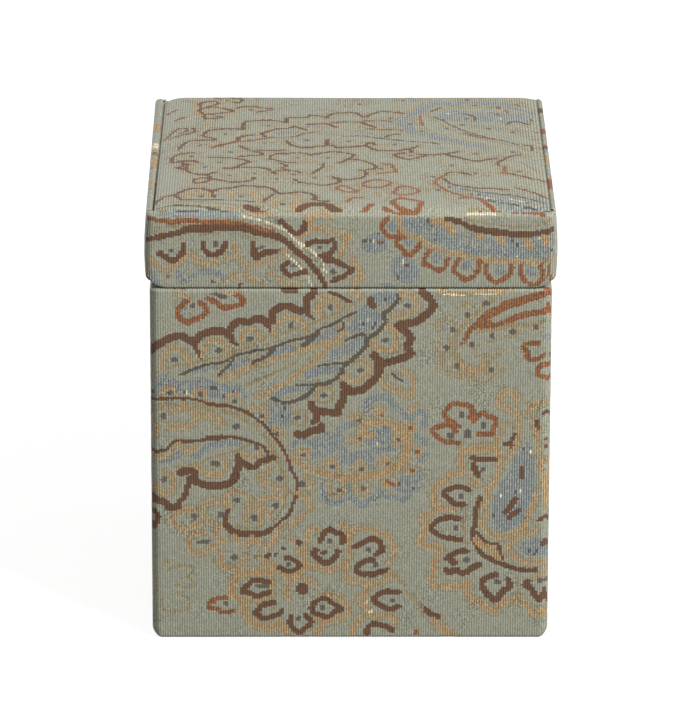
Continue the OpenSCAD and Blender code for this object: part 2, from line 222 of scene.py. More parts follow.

# Each line of a drawing is a yarn, how wide it is woven, and the run of points it follows, in
# millimetres across and up. "dot" gives round dots of that radius, "eye" a dot inside a small
# tan arch, "fill" an outline filled in, and "haze" one filled with broken floats. A line that ends
# in "by" and a second yarn has a broken line of that yarn along each side.
# The cream yarn is painted highlight: near-white strokes for glints on the thread. The gold and cream band just
# under the rim, near 117 to 118 mm, is gold thread with the painted highlight of the rounded rim.
BASE_DRAWING = """
tan 1.2: -60,92 -52,93.5 -45,95 -38,97 -30,101 -22,104 -14,106.5 -6,110 0,113 4,116
blue 2.2: -38,92.5 -33.5,95
blue 1.5: -50,91 -43,92.5
blue 2.6: -24.5,97.5 -20.5,99 -18,98.5; -22,84.5 -14,86
blue 3: -11,101.5 -5.5,104
blue 2: -24.5,83 -20,84.5
blue 3.4: -5.5,96.5 -1,98.5 3.5,101.5
blue 2.8: -14,90 -8,91.5 -4,92
blue fill: -1.5,105 0.5,108 2.5,111.5 5,113.5 7.5,112 9.5,110.5 9.5,107 6.5,105 2,104; 7.5,113.5 7.5,117.5 14.5,117.5 14,115 10,113
gold 1.4 by tan: -41,88 -36.5,90.5 -30,93.5 -25,95 -19.5,96.5 -16,98 -13,99 -9.5,100.5 -6,101.5 -4,103 -2.5,104.5; -29.5,83 -26.5,84 -24,85.5 -20,87.5 -16,91 -13,93.5 -10,96.5 -7,99 -4,100.5
tan 1.2: -33,86.5 -27.5,89 -25,90.5 -21.5,92 -17.5,94
umber 1 by tan: -53.5,90 -49,92 -44.5,93.5 -40,94.5 -36.5,96.5 -30.5,98 -25.5,99 -20,101 -13,103 -9.5,105.5 -6.5,106.5 -2.5,109 1.5,111
umber 1.2 by tan: -42,90 -39,93 -37.5,95; -31,94 -26.5,96.5 -24.5,98.5
umber 1.8 by tan: -15,100 -12.5,102 -10.5,104
umber 0.8 by tan: -4,104.5 -2.5,105.5 -2,107.5; -10,93 -6.5,93.5 -3,94 0,94.5; -17,86.5 -11,86.5
umber 1.1 by tan: -1.5,101.5 1.5,103 4,103.5 5,101.5
umber 1.5 by tan: -25,82 -21.5,80.5 -18.5,81 -15,82.5 -12.5,84.5 -11,86.5 -8,87 -5,88.5 -3,90.5 -2,93 0.5,95 2.5,97 5,100 5.5,102 7.5,103.5 10,106 11,107.5 10.5,110.5 12.5,112 14.5,114.5 15,116.5
brown 2.4: 6,115 7,113
gold 1.2 by tan: 0.5,117.5 3,116
rust 1.9: -51.5,114.5 -54,112 -54,109.5 -51.5,107.5 -49,108.5 -46,110 -45,112 -47,114; -44.5,115.5 -42.5,114 -40.5,112.5 -37,113 -34.5,114 -34.5,115.5 -36.5,117
plum dot 1: -49.5,113 -55.5,95 -42,98 -32,102 -19,106.5 -6.5,112.5
gold 1.1 by tan: -54,117.5 -51,116; -40,117.5 -36.5,117.5
plum 1.4: -43,117 -40,116
brown 2.6: -63.5,97.5 -60,100.5 -57,102 -53.5,103 -50.5,101.5 -49,100.5; -49,101 -46.5,103.5 -43.5,104.5 -40,104.5 -38.5,103; -38.5,105 -37,107 -35,108 -33,107.5 -30.5,108.5 -28,108.5 -26.5,107; -25,108 -25,110.5 -23.5,112 -20,113 -16.5,111.5 -14,112; -14,112 -14,115.5 -12.5,116.5 -11.5,118.5; -21,118.5 -18,118.5
brown 2>0.8: -49.5,101 -47,95.5; -38,103 -37.5,101 -36,100; -26,107 -25.5,104.5; -14,111 -12,108.5
brown 1.3: -6.5,117.5 -4,116.5 -0.5,114.5
gold 1.3 by tan: -60,92 -59,95 -57.5,97.5 -55.5,99 -53.5,98.5 -52,96.5 -50,94; -46.5,96 -46,98.5 -44.5,101 -42.5,102 -40.5,100.5 -39,98.5 -38.5,97; -35,101 -34.5,103.5 -33.5,104.5 -31.5,105 -30,104.5 -29,103.5 -28,101.5; -24.5,103.5 -23.5,106 -22,108.5 -19.5,109.5 -17,109 -15,107.5 -15,105.5
gold 1.8 by tan: -10,110 -10,112 -10,114.5 -9,115.5 -7,115.5 -5,114.5 -4,112.5
brown 2.7: 22.5,118 25,115.5 26,113 24.5,110.5 22.5,109 20,107.5 17.5,107 15,106.5; 15.5,106 18,104 19,102 18,99.5 19,97 17.5,96 14.5,95 10.5,94 8,95.5 7.5,96.5; 9,93.5 9,91 8,89 5.5,86.5 3.5,85 1,84.5 -1,85 -2.5,86.5; -2,84 -2.5,81.5 -3.5,79.5 -4,77.5 -5,77 -7.5,77.5 -9.5,77.5 -12,78.5 -12.5,80; -9.5,72.5 -9.5,71.5 -12.5,71 -15,69.5 -17,70
brown 2.2: -11,77 -11,75 -12,74
gold 1.3 by tan: 16,116.5 18,117 20.5,115.5 21,113 20,111.5 17,110 14.5,109.5; 3.5,94.5 5.5,93.5 5.5,91 4,89 1.5,87.5 -1,89 -2.5,89.5; 10,89 10.5,87 12.5,85.5 15.5,84.5 17.5,83 19.5,83.5 20,85 20,87.5 18.5,91 16.5,91.5
gold 1.6 by tan: 11.5,106 14,105 14.5,101.5 14,99 11.5,98.5 9,99 7,101
tan 1.3: -10.5,84.5 -10.5,81.5 -8.5,80.5 -6,81.5 -6,84.5 -8.5,85.5 -10.5,84.5; -19.5,76.5 -16,77.5 -14.5,77.5 -14.5,74 -16,72.5 -18.5,74
plum dot 1: 18,113 11,101.5 3,91.5 -8.5,83 -17,75.5
umber 0.8 by tan: 13,90.5 14.5,89 16.5,88
blue haze: -63,82 -60,87.5 -50,88 -42,87.5 -34,84.5 -35,81 -45,82.5 -57,84; -26,72 -26,80 -20,80 -20,72
blue 1.6: -60.5,86.5 -60,88 -58,89 -56,88 -54.5,87; -50.5,85.5 -50,86.5 -48,88.5 -46,88 -44.5,86.5; -40,84 -38.5,85.5 -36.5,86 -34.5,84.5
gold 1.2 by tan: -59.5,83 -59,85 -57,86 -55.5,85 -54.5,83; -49.5,83 -49,84.5 -47,85 -45.5,84 -45.5,82.5; -39.5,81.5 -38.5,83 -36.5,83.5 -35.5,82 -35,81; -34,77.5 -31.5,78.5 -28,78.5 -26.5,77 -27,75.5; -25,71.5 -23,72 -22,70 -23,68.5
plum dot 0.9: -57,84 -47,83.5 -37,81 -28.5,76 -23.5,70
tan haze: -62,80 -50,81 -40,78.5 -32,75.5 -26.5,69.5 -22,60 -19.5,52 -21,45 -28,38.5 -32,37 -38.5,39 -40.5,44 -39,44 -37,40 -31,38.5 -25,41 -22,46 -21.5,53 -25,62 -30,71 -40,76.5 -50,78 -62,77.5
blue 1.8: -18.5,66 -18,67 -15,67.5 -12,66.5 -11,64.5 -12,62; -9,52.5 -8.5,48.5 -7,46.5 -5,46 -2.5,47.5 -1,48.5 -0.5,52.5; 0.5,48.5 2,46.5 4,45.5 6,47.5 8.5,48.5 9.5,51; 10,50.5 11.5,48.5 14.5,48.5 17,47.5 19,49.5
blue 2.2: -11,63.5 -8.5,63 -6.5,64.5 -3.5,65 -2,63 -2.5,60; 0.5,61 0.5,62.5 3.5,63 6,62 6.5,59; 6.5,64 10,64.5 12.5,65 15.5,66; 5,79.5 6,81.5 9,82.5 12,82 13,79.5
blue 2: 13,80 16.5,77 19,75 21.5,77.5 23.5,76 23.5,73; 21,69.5 22.5,68 24,67; 24,63 22.5,61; 22,54.5 22,56.5; -4,71 -2,72.5 0.5,73
blue 3: 11,72 13,66.5
blue haze: 15,50.5 22,50.5 22,55.5 15,55.5; 5,66 11,66.5 12,70.5 7,71.5 4,69.5; -8,64.5 -2,66 -3,70 -8,70.5 -12,68
gold 1.3 by tan: -16.5,64 -15,65 -13.5,64.5 -13.5,62.5 -16.5,62.5; -8,59.5 -7,60.5 -5,60.5 -4.5,59; 1.5,58 2,59.5 3.5,60 5.5,58.5; 10,60 10.5,61.5 11.5,61 12.5,60; 0.5,76 2.5,76 3.5,75 3,73.5; 8,77.5 9.5,78 10.5,77.5; 0.5,68 2.5,69.5 3.5,68 2,67; 13.5,68.5 15.5,69.5 16.5,67.5 15.5,66.5 13.5,66.5; 18,73.5 19,74 20,72.5 20,70.5; 19,77.5 20.5,79; 18.5,57.5 19.5,56.5 20.5,57.5; 21,64.5 22.5,65 22.5,64 21.5,63; -6,52.5 -6.5,51 -4.5,49 -2.5,49.5 -2,52; 1.5,52.5 2.5,50.5 5,50.5 5.5,52.5; 10.5,54.5 11.5,52.5 14,52.5 15,54
plum dot 0.8: -15,63 -6,59 3.5,58 3,74.5 3,68.5 15.5,68 -3.5,51 4,51.5
rust dot 0.7: 12,60 10,76.5 19,72 20,57.5 21.5,64
rust 1: 11.5,54 14,52.5
gold 1.2>2.6>2.6>1.8 by tan: -22.5,64.5 -19.5,62 -16.5,60 -13.5,58 -9.5,57 -6,56 -1.5,55 3.5,55.5 7.5,56 11,57 14.5,58.5 16.5,60.5 18,63 18.5,66.5 18,68.5 17,70.5 15,72 12.5,73.5 10,74 7,74 5,72.5 4,71 5,69.5 6,69 7.5,70
brown 1.1: -63.5,81.5 -57,82 -52,82 -48,81.5 -44,80 -39.5,79.5 -36,78.5 -32.5,77 -30,75 -27,72.5 -25,69.5 -22.5,66.5 -20,61.5 -19,58 -17.5,55 -17,52 -17.5,48.5 -18.5,46 -19.5,43 -21.5,41 -25,38
brown 1.4>2.4>2.2>1.2: -25,38 -27,36.5 -30,36 -32.5,36 -35,36 -37,36.5 -39,38 -40,39.5 -40,42.5 -39,44
gold 1.3 by tan: -56,78 -53.5,79 -51,78.5 -49,76.5 -48.5,75 -50.5,73 -55,72.5 -58,72.5; -48,76 -46,76.5 -43.5,76 -41.5,75.5 -41,74 -42,73; -62,74.5 -61,72.5 -61.5,70 -62.5,69
plum dot 1.1: -59,76 -36.5,72.5
brown 1.1: -63.5,64 -59,64.5 -57,66 -55.5,67.5 -50.5,67.5 -46,68 -41.5,69 -38,69 -35,68.5 -32,67.5 -30.5,67 -28.5,66 -27,64.5 -26.5,62.5
brown 1.7: -45,68.5 -40,69; -63.5,64 -61,64
blue 2.2: -59,60.5 -56,62 -53.5,63.5; -49,62.5 -47,63.5 -44.5,66 -39,67 -36,67
tan 1: -56,58.5 -52.5,59 -48,60 -43.5,62 -40.5,63 -36.5,64.5 -32,66.5
gold 1.3 by tan: -54,67 -53.5,65 -51.5,64 -49.5,64.5 -48.5,66; -62.5,63 -60,62 -57.5,62.5 -56.5,64.5
brown 2.6: -53.5,57 -51.5,57.5 -50,57.5 -49,56 -50.5,54.5 -48,53.5 -45,52.5 -42,52.5 -39.5,53 -37.5,54.5 -36.5,57.5 -36,59.5 -36,62 -35.5,62.5; -54.5,45.5 -57,45 -59,47 -61,47.5 -63,48.5
brown 2.2: -35,60.5 -32.5,59 -30.5,59 -29,60.5 -26.5,61.5 -24.5,62
brown 1.8: -51,54.5 -51.5,52 -52.5,49 -54,47 -54.5,45.5; -62.5,44 -61,42 -62.5,38
gold 1.4 by tan: -48.5,59 -46.5,57.5 -44.5,56.5 -41.5,56.5 -40.5,58 -40.5,60.5 -41,61.5; -58,57 -56,55.5 -55.5,53 -56.5,51 -59,50 -61.5,52 -62.5,53; -35,63 -32,62 -30,62.5 -28.5,64
plum dot 1.1: -43,60 -59,54.5 -30,65.5 -22.5,55 -36.5,47.5 -24,45.5 -41.5,42.5 -31,41.5 -49.5,42 -37.5,28 -15.5,53
gold 1.3 by tan: -26.5,59 -26.5,57.5 -29,55.5 -28,53.5 -26,52.5 -22.5,51.5 -21,52.5; -39,45.5 -40,48 -38.5,50 -36,50.5 -34,49.5 -32.5,47.5 -33,45.5; -30,46.5 -28,48 -25.5,49 -22.5,48.5 -21.5,47; -28.5,45 -26.5,43.5 -25.5,41.5; -40,47 -43,47 -46,46 -47,44 -45.5,41 -43.5,40; -34,40.5 -33.5,42.5 -32,44 -30.5,44 -28.5,42.5 -28.5,40; -13.5,54.5 -12.5,51; -17.5,50 -15,48.5 -13,46 -14,43.5 -16.5,41.5 -20,38.5
gold 1.5 by tan: -49.5,44 -52.5,44 -55,43 -57,41 -55.5,39 -53.5,38 -51,38 -48,39.5; -46.5,37 -49.5,36 -51.5,35 -51,33 -51,31 -49.5,29.5 -46.5,30 -44.5,31 -42.5,32.5; -41.5,38.5 -43,36.5 -42.5,34.5 -40.5,33.5; -41,29.5 -42,27.5 -41.5,25.5 -39.5,24 -37,24 -35,25.5 -34,28; -37.5,35.5 -36.5,34 -34.5,32.5 -32,33.5 -31.5,35; -30,34 -28,32.5 -26.5,31.5 -25,33.5 -24,35.5 -22.5,38.5; -29,28.5 -27.5,26.5 -25,25 -24,23.5
plum 1.2: -48,33 -45,33.5; -30,18 -26,18
brown dot 1: -26.5,28.5 -8.5,29.5 -16.5,33
brown dot 0.7: -24,29 -21.5,31
gold 2.2 by tan: -25,23 -27.5,23 -32,23 -35,22 -36.5,20.5 -38.5,19.5 -38,17.5 -38,15 -36,13.5 -34,13 -34.5,10 -33,7.5 -31.5,5.5 -28,4 -25.5,3.5 -23,5.5 -21.5,3.5 -20.5,1.5
gold 1.2 by tan: -26,23 -25.5,20 -25.5,15.5 -27.5,13.5 -32,13.5
brown 1.9: -35,16.5 -33,18.5 -31,20 -26.5,19.5; -35,16 -32,15.5 -30,14.5 -27.5,15.5 -26,16; -30.5,9 -28,11.5 -24.5,12.5; -30.5,8.5 -28,7 -25.5,7.5 -23,8.5 -22,9.5
tan dot 0.8: -24.5,10.5
brown dot 2.1: -15.5,17
gold 1.6 by tan: -21,16.5 -20,18.5 -18.5,20.5 -15.5,20.5 -13,19.5 -11.5,18.5; -21,15.5 -19.5,14; -9.5,15 -6.5,15 -3.5,14 -1.5,12 -0.5,9.5 -2,7.5 -4.5,6.5 -8.5,6 -11,7.5
gold 1.8 by tan: -8.5,6 -9.5,3.5 -11.5,1.5
brown 1.7: -12,12 -9.5,13.5 -7.5,13.5 -5,11.5 -2.5,10 -4.5,9.5 -7,7.5 -9.5,8 -12,9 -12.5,10.5 -12,12; -19,7.5 -19.5,5.5 -18.5,3.5 -16.5,2 -14.5,3.5 -12.5,5.5 -14.5,8; -23,24.5 -19.5,23 -18,23.5 -16,24.5 -17.5,26.5 -19.5,27.5 -21,27.5
plum dot 0.9: -9,10.5 -16.5,7 -20,25.5 -6.5,33.5 6,30.5 8,25.5 13.5,13 -40,12
gold 1.5 by tan: -22,22 -20,21.5 -18,22 -15.5,23.5 -14.5,25 -15,27.5 -16.5,30; -10.5,37.5 -13,37 -13.5,34.5 -14,32; -15,30.5 -15,26.5 -13,25 -9.5,24.5 -7,23.5 -4,25 -1,25.5; -2.5,39 -1,37 -0.5,34 -0.5,29.5 -1,26 -1,23 -1.5,21 0,20 3.5,19.5 7.5,18.5 10,19.5 12.5,21 13.5,23; 0,36.5 2.5,37.5 5.5,38 8,37 10.5,36 12.5,34.5 13,32.5 14.5,30.5 13.5,28 12.5,26.5
gold 1 by tan: -19.5,34.5 -18,32.5
brown 2: -9.5,33.5 -8.5,36 -7,37.5 -4.5,36.5 -2.5,35.5 -2.5,33; -11,30.5 -12,29 -10.5,27.5 -7.5,26 -5,28 -4,30; 1,31.5 3.5,32.5 6,34 8.5,34 10,32 10,30 8.5,29; 7,27 4.5,26.5 2.5,25 2,23 3.5,22.5 7,22 10,23 11.5,23.5; 15.5,16 13,16 10.5,16 8,14 8,12.5 10.5,11 12.5,10 15.5,11; 5.5,1.5 6,4 8,5 10.5,4.5 13.5,3
gold 1.7 by tan: 6,19 6,17 3.5,14 3.5,13 5.5,10.5 6,8.5 10,8 13.5,7.5 14.5,5; 0.5,1.5 2,4.5 3.5,7
tan 1.4: 14.5,21.5 17.5,18.5; 18,16 22,12 23,8
cream 0.9: 6,9 7,9.5; 5,12 5.5,13
rust 1.6: -40,14 -42,14 -44,13 -45,11 -43,10 -41,9 -37.5,9.5
tan 1: -59.5,25.5 -58.5,26.5 -57,26.5; -58,23.5 -56.5,24.5 -53,25 -50,24.5 -50,23 -52,21.5 -50.5,20 -49.5,18.5 -52,17.5 -55.5,18.5; -60.5,13.5 -60,11 -59,9 -56.5,9.5 -53,9.5 -51.5,11.5 -52,14 -55,15.5; -61.5,21.5 -61.5,16.5
brown 2: 24.5,10 26.5,8 28.5,7.5
gold 2 by tan: 27,6.5 28.5,4.5 31,2.5 33,1
rust dot 1: 21.5,2
gold dot 0.8: 30.5,7
rust 1.8: 34.5,72.5 32.5,74 31,75 30,77 31,78.5 32,80 35,80 38,79.5 39,77.5 38,75.5; 39.5,74.5 41,76.5 42.5,77 44,76 46.5,75 46,72.5 45,70 41,70; 33.5,71 32.5,72.5 30,73 26.5,71.5 27.5,69.5 30,67.5 34.5,67
plum dot 1.1: 35.5,76.5 42.5,73 32,69.5
plum dot 1.5: 37.5,70
blue fill: 56.5,67.5 55,65 52.5,62 51.5,58 49,54.5 47.5,51 46,47.5 45.5,43.5 45.5,39 47,37.5 49.5,36.5 52.5,38 55.5,40 56.5,42.5 57.5,46.5 59,51 59,57.5 58.5,62.5 57.5,66.5; 54.5,31.5 56,33.5 60,34.5 63.5,34 63.5,29 60,28.5 57.5,28.5 55.5,29.5
brown 1.9: 55,58.5 55,55.5; 53,48 51.5,45.5 50,43.5; 51,41.5 52,42.5 54,44
gold 1.5 by tan: 47.5,81.5 47.5,82.5 49,84 51.5,84 53,82.5 52.5,81; 47.5,80 50,79 52,77.5 53,77.5 53.5,75.5 54,72 53.5,68.5 52.5,66 51,63 48.5,60.5 47.5,58 47,55.5 45.5,52.5 43.5,50.5 44.5,48.5 42.5,46.5 43,43.5 42.5,39.5 43.5,37.5 46,35.5 49,35 52,36 54.5,38 56.5,39.5 57.5,43.5 59,47 60,50
gold 1.3 by tan: 59.5,79.5 57.5,77.5 58.5,74 59.5,71 60,67.5 61,62 62,54.5 62.5,48 63,44.5; 57.5,79.5 59,80.5 62.5,81; 46,66.5 47,67 47.5,70 48,72 50,72.5; 59.5,37 55.5,36 52.5,33.5 51,31.5 52,28.5 54.5,27 58.5,26 62,26.5
brown 1.4: 52.5,70 51.5,67.5 49.5,66.5; 51.5,65.5 51.5,67.5
brown 1.7: 41.5,48.5 41,46 40,43.5 40,40 39.5,35 40.5,32.5 42.5,29 46,27 49,25.5 52,24.5 55.5,23.5 60,23.5; 62,32.5 63,34
brown 1.2: 40,37 42.5,34.5 44.5,32.5 47.5,32.5 48,30 49,27.5; 59.5,74.5 60,72; 61.5,77 62.5,77.5; 63,68.5 63,64; 62.5,42 60.5,40.5
gold 2.2 by tan: 40.5,34 42.5,32 45.5,31 47.5,28
gold 1.2 by tan: 60,21 63,23
brown 1.9: 46.5,61.5 43.5,61.5 40,61.5 39,62; 39.5,60 40,57.5 41,56; 38,51 35.5,52 32.5,51.5 30,50 32,47.5 34,46 36.5,46; 35.5,41 32.5,41.5 29,41 26.5,39 26,38 28.5,35.5 32,34.5 35.5,34; 37.5,30 35,30 32.5,28.5 31,27.5
brown 2.2: 32.5,27 33.5,26; 31,23.5 32,23 34,23.5 36.5,22.5 39,24 41.5,25.5; 47,22 44,21 42.5,19 43.5,16.5 45.5,14 47.5,13.5 49,16 51.5,18 51,20; 57.5,19.5 56.5,18.5 58.5,17 60,14.5 61,13.5 62.5,15 63,17
plum dot 1: 42.5,58 35.5,49 34,38 37.5,27 47.5,19.5 61.5,20
gold 2 by tan: 47.5,62.5 47.5,64.5 42.5,65 38,64.5 35,63.5 35.5,60.5 36,57.5 32.5,56 29,53 27,51 27.5,46.5 29,45 24.5,42.5 23.5,41.5 24.5,39.5 24,37 22.5,33.5 24.5,32 28.5,31 28,28.5 27,26 27,23 26,20 27.5,18.5 31.5,18 36,18 37.5,19 38,16.5 39.5,13.5 42,12 45.5,10 47,9.5 49,12 52,13 54.5,13.5 56.5,11.5 58.5,9.5 61,8.5 62.5,10
gold 1.5 by tan: 38.5,54.5 41,53; 29.5,44.5 33.5,44
tan 1.2: 37,42.5 36,39.5 36.5,36.5 37,32.5; 53.5,21 54,15.5
rust 1>3>3>2: 35,100 36.5,102 38,105 40.5,107 42,108.5 44.5,110.5 47.5,112 50,113.5 53.5,114.5 57.5,116 61,117 63.5,118.5
rust 2.2: 42,106 44.5,106 48,107 52,109 54.5,110 57.5,110.5 60.5,111 62.5,112 63.5,113.5
rust fill: 38,104.5 42,108 45.5,107.5 42,106
tan 1.6>2.6 by tan: 45.5,115.5 42.5,113 40,111 37.5,108.5 35.5,106 33.5,103 33,100 33.5,96.5 35,93.5 37.5,91.5 40,91.5 42.5,92.5 43.5,94
gold 1.6 by tan: 35,93.5 37.5,91.5 40,91.5 42.5,92.5
tan 0.9: 36,101 38.5,98.5 41,100; 42.5,101.5 45,101 47,103; 49,103 51.5,102.5 53,104; 40,96 43,97 46,95.5 48,97.5
gold 0.8: 49,107 49,104.5; 52,107.5 52,105; 54.5,107.5 54.5,105; 57,107.5 57.5,105; 60,108 60,105.5
tan 1 by tan: 27.5,106 30,108.5 33.5,107; 28,101 27,99.5 28.5,96.5 32,96; 28.5,94.5 29,92 32,91 35.5,90; 36.5,89 39.5,88 42.5,87.5 45.5,89.5 47.5,91.5 47,93.5; 47.5,97.5 45.5,95.5; 35,113 38,113.5
tan 1.4: 39.5,104.5 45.5,105 49,106 52.5,106.5 57.5,106.5 61,108
plum dot 1: 43,114 37,110 32.5,105 30.5,99 34,93 45,91.5 38.5,100 45,103 51.5,104.5 59,106
gold 1.1 by tan: 28,118 34,117.5 42,118 50,118
cream 0.6: 30,117 36,116.5; 40,117 46,117
rust 1.7: 59.5,100.5 57,100.5 55,99.5 56.5,97.5 56,96 57.5,95 60,95.5 61.5,96.5; 62.5,93.5 60.5,93 59.5,91.5 60.5,89.5 63,89
blue dot 1.2: 62.5,102.5
"""


def smooth_run(points, closed=False):
    """Points every fifth of a millimetre along the rounded line through a run of points."""
    p = np.array(points, float)
    if len(p) == 1:
        return p
    ends = (p[-1:], p[:1], p[1:2]) if closed else (2 * p[:1] - p[1:2], 2 * p[-1:] - p[-2:-1], p[:0])
    q = np.vstack([ends[0], p, ends[1], ends[2]])
    out = []
    for a, b, c, d in zip(q, q[1:], q[2:], q[3:]):
        n = max(2, int(np.hypot(*(c - b)) / 0.2))
        t = (np.arange(n) / n)[:, None]
        out.append(0.5 * (2 * b + (c - a) * t + (2 * a - 5 * b + 4 * c - d) * t * t
                          + (3 * b - a - 3 * c + d) * t ** 3))
    return np.vstack(out + [p[:1] if closed else p[-1:]])


def inside(x, y, ring):
    """Which of the places x, y lie inside a closed run of points."""
    found = np.zeros(np.broadcast(x, y).shape, bool)
    for (ax, ay), (bx, by) in zip(ring, np.roll(ring, -1, axis=0)):
        if ay != by:
            found ^= ((y < ay) != (y < by)) & (x < (bx - ax) * (y - ay) / (by - ay) + ax)
    return found


def weave_drawing(text, low, high, seed, beside=(0.5, 0.65)):
    """Weaves a drawing's lines into a grid of yarns, and returns a function that reads it."""
    step = (RIB, 0.45)
    xs = (np.arange(low[0] // RIB, high[0] // RIB + 2)) * RIB
    ys = np.arange(low[1], high[1], step[1])
    cloth = np.zeros((len(ys), len(xs)), np.int8)
    chance = np.random.default_rng(seed)

    def scatter(wide, high):
        """Chance numbers in blocks so many ribs wide and rows high."""
        small = chance.uniform(0, 1, (len(ys) // high + 1, len(xs) // wide + 1))
        return np.kron(small, np.ones((high, wide)))[:len(ys), :len(xs)]

    ragged = scatter(1, 1) * 0.2 - 0.1
    broken = scatter(1, 4) * 0.6 + scatter(3, 2) * 0.4
    dashes = scatter(3, 1)
    bright = scatter(1, 3)

    def disc(yarn, x, y, r):
        a, b = np.searchsorted(xs, (x - r - 0.3, x + r + 0.3))
        c, d = np.searchsorted(ys, (y - r - 0.3, y + r + 0.3))
        near = np.hypot(xs[None, a:b] - x, ys[c:d, None] - y) < r + ragged[c:d, a:b]
        cloth[c:d, a:b][near] = yarn

    def around(spine, r):
        """Which places lie within r of a line."""
        found = np.zeros(cloth.shape, bool)
        for x, y in spine[::2]:
            a, b = np.searchsorted(xs, (x - r, x + r))
            c, d = np.searchsorted(ys, (y - r, y + r))
            found[c:d, a:b] |= np.hypot(xs[None, a:b] - x, ys[c:d, None] - y) < r
        return found

    for line in text.strip().splitlines():
        head, _, body = line.partition(":")
        words = head.split()
        yarn = YARNS.index(words[0])
        for run in body.split(";"):
            points = [tuple(map(float, p.split(","))) for p in run.split()]
            if not points:
                continue
            if words[1] in ("dot", "eye"):
                for x, y in points:
                    if words[1] == "eye":
                        for turn in np.linspace(-0.6, 3.7, 40):
                            disc(YARNS.index("tan"), x + 2.5 * math.cos(turn),
                                 y + 2.2 * math.sin(turn), 0.5)
                    disc(yarn, x, y, float(words[2]))
            elif words[1] in ("fill", "haze"):
                ring = smooth_run(points, closed=True)
                hit = inside(xs[None, :], ys[:, None], ring)
                if words[1] == "haze":
                    hit &= broken < 0.72
                cloth[hit] = yarn
                # In blue fills, rare cells of cream yarn are painted glints, and rare cells of umber are dark
                # flecks.
                if words[0] == "blue":
                    cloth[hit & (bright < 0.01)] = YARNS.index("cream")
                    cloth[hit & (bright > 0.97)] = YARNS.index("umber")
            else:
                spine = smooth_run(points)
                widths = [float(w) for w in words[1].split(">")]
                if words[-1] in YARNS:
                    gap = max(widths) / 2 + beside[0]
                    twin = around(spine, gap + beside[1]) & ~around(spine, gap) & (cloth == 0)
                    cloth[twin & (broken < 0.62)] = YARNS.index(words[-1])
                at = np.linspace(0, 1, len(spine))
                sizes = np.interp(at, np.linspace(0, 1, len(widths)), widths) / 2
                for (x, y), r in zip(spine, sizes):
                    disc(yarn, x, y, r)

    def read(x, y):
        i = np.clip(np.round((x - xs[0]) / step[0]).astype(int), 0, len(xs) - 1)
        j = np.clip(np.round((y - ys[0]) / step[1]).astype(int), 0, len(ys) - 1)
        return cloth[j, i]

    return read


base_figure = weave_drawing(BASE_DRAWING, (-64.2, 0), (64.2, 119), 5)


def ramp(tree, yarn, colours, glints=None):
    """The colour of each yarn, in the order of YARNS, with the strength of its painted glint as alpha."""
    n = put(tree, "ShaderNodeValToRGB", Fac=yarn)
    n.color_ramp.interpolation = "CONSTANT"
    stops = n.color_ramp.elements
    while len(stops) < len(colours):
        stops.new(0.5)
    for k, colour in enumerate(colours):
        stops[k].position = max(0, (k - 0.5) / 10)
        stops[k].color = tint(*colour)[:3] + (glints[k] if glints else 1,)
    return n


ribs = bpy.data.node_groups.new("ribs_and_slubs", "ShaderNodeTree")
ribs.interface.new_socket("Cloth", in_out="INPUT", socket_type="NodeSocketVector")
for name in ("Crest", "Slub", "Fleck", "Broad"):
    ribs.interface.new_socket(name, in_out="OUTPUT", socket_type="NodeSocketFloat")
cloth_in = put(ribs, "NodeGroupInput").outputs["Cloth"]
axes = put(ribs, "ShaderNodeSeparateXYZ", Vector=cloth_in)
wave = math_node(ribs, "COSINE", math_node(ribs, "MULTIPLY", axes.outputs[0], 2 * math.pi))
crest = math_node(ribs, "ADD", math_node(ribs, "MULTIPLY", wave, 0.5), 0.5)
stretched = put(ribs, "ShaderNodeMapping", Vector=cloth_in, Scale=(2.0, 0.5, 1.0)).outputs[0]
slub = put(ribs, "ShaderNodeTexNoise", Vector=stretched, Scale=1.0, Detail=3.0, Roughness=0.65)
cell = put(ribs, "ShaderNodeVectorMath", operation="FLOOR",
           i0=put(ribs, "ShaderNodeMapping", Vector=cloth_in, Scale=(2.0, 2.2, 1.0)).outputs[0])
fleck = put(ribs, "ShaderNodeTexWhiteNoise", Vector=cell.outputs[0])
wide_noise = put(ribs, "ShaderNodeTexNoise", Vector=cloth_in, Scale=0.07, Detail=3.0)
put(ribs, "NodeGroupOutput", Crest=crest, Slub=slub.outputs[0], Fleck=fleck.outputs[0],
    Broad=wide_noise.outputs[0])

# Each yarn's colour on the crest of a rib and in the valley between ribs, and how strongly painted
# glints brighten it
CREST = [(163, 165, 149), (191, 162, 120), (158, 108, 74), (122, 91, 69), (156, 161, 156),
         (120, 113, 105), (172, 158, 124), (226, 216, 188), (108, 98, 86)]
# The valley colours are each yarn as seen in the groove between ribs, darkened with painted shade of the groove.
SHADED_VALLEY = [(127, 125, 107), (115, 95, 69), (90, 62, 44), (80, 58, 44), (86, 92, 91),
          (74, 66, 62), (108, 98, 76), (146, 134, 106), (78, 72, 62)]
PAINTED_GLINT = [0.18, 0.6, 0.9, 0.1, 0.6, 0.0, 0.4, 1.0, 0.05]

brocade = bpy.data.materials.new("brocade")
brocade.use_nodes = True
tree = brocade.node_tree
tree.nodes.clear()
yarn_in = put(tree, "ShaderNodeAttribute", attribute_name="yarn").outputs["Fac"]
cloth_in = put(tree, "ShaderNodeAttribute", attribute_name="cloth").outputs["Vector"]
woven = tree.nodes.new("ShaderNodeGroup")
woven.node_tree = ribs
tree.links.new(cloth_in, woven.inputs["Cloth"])
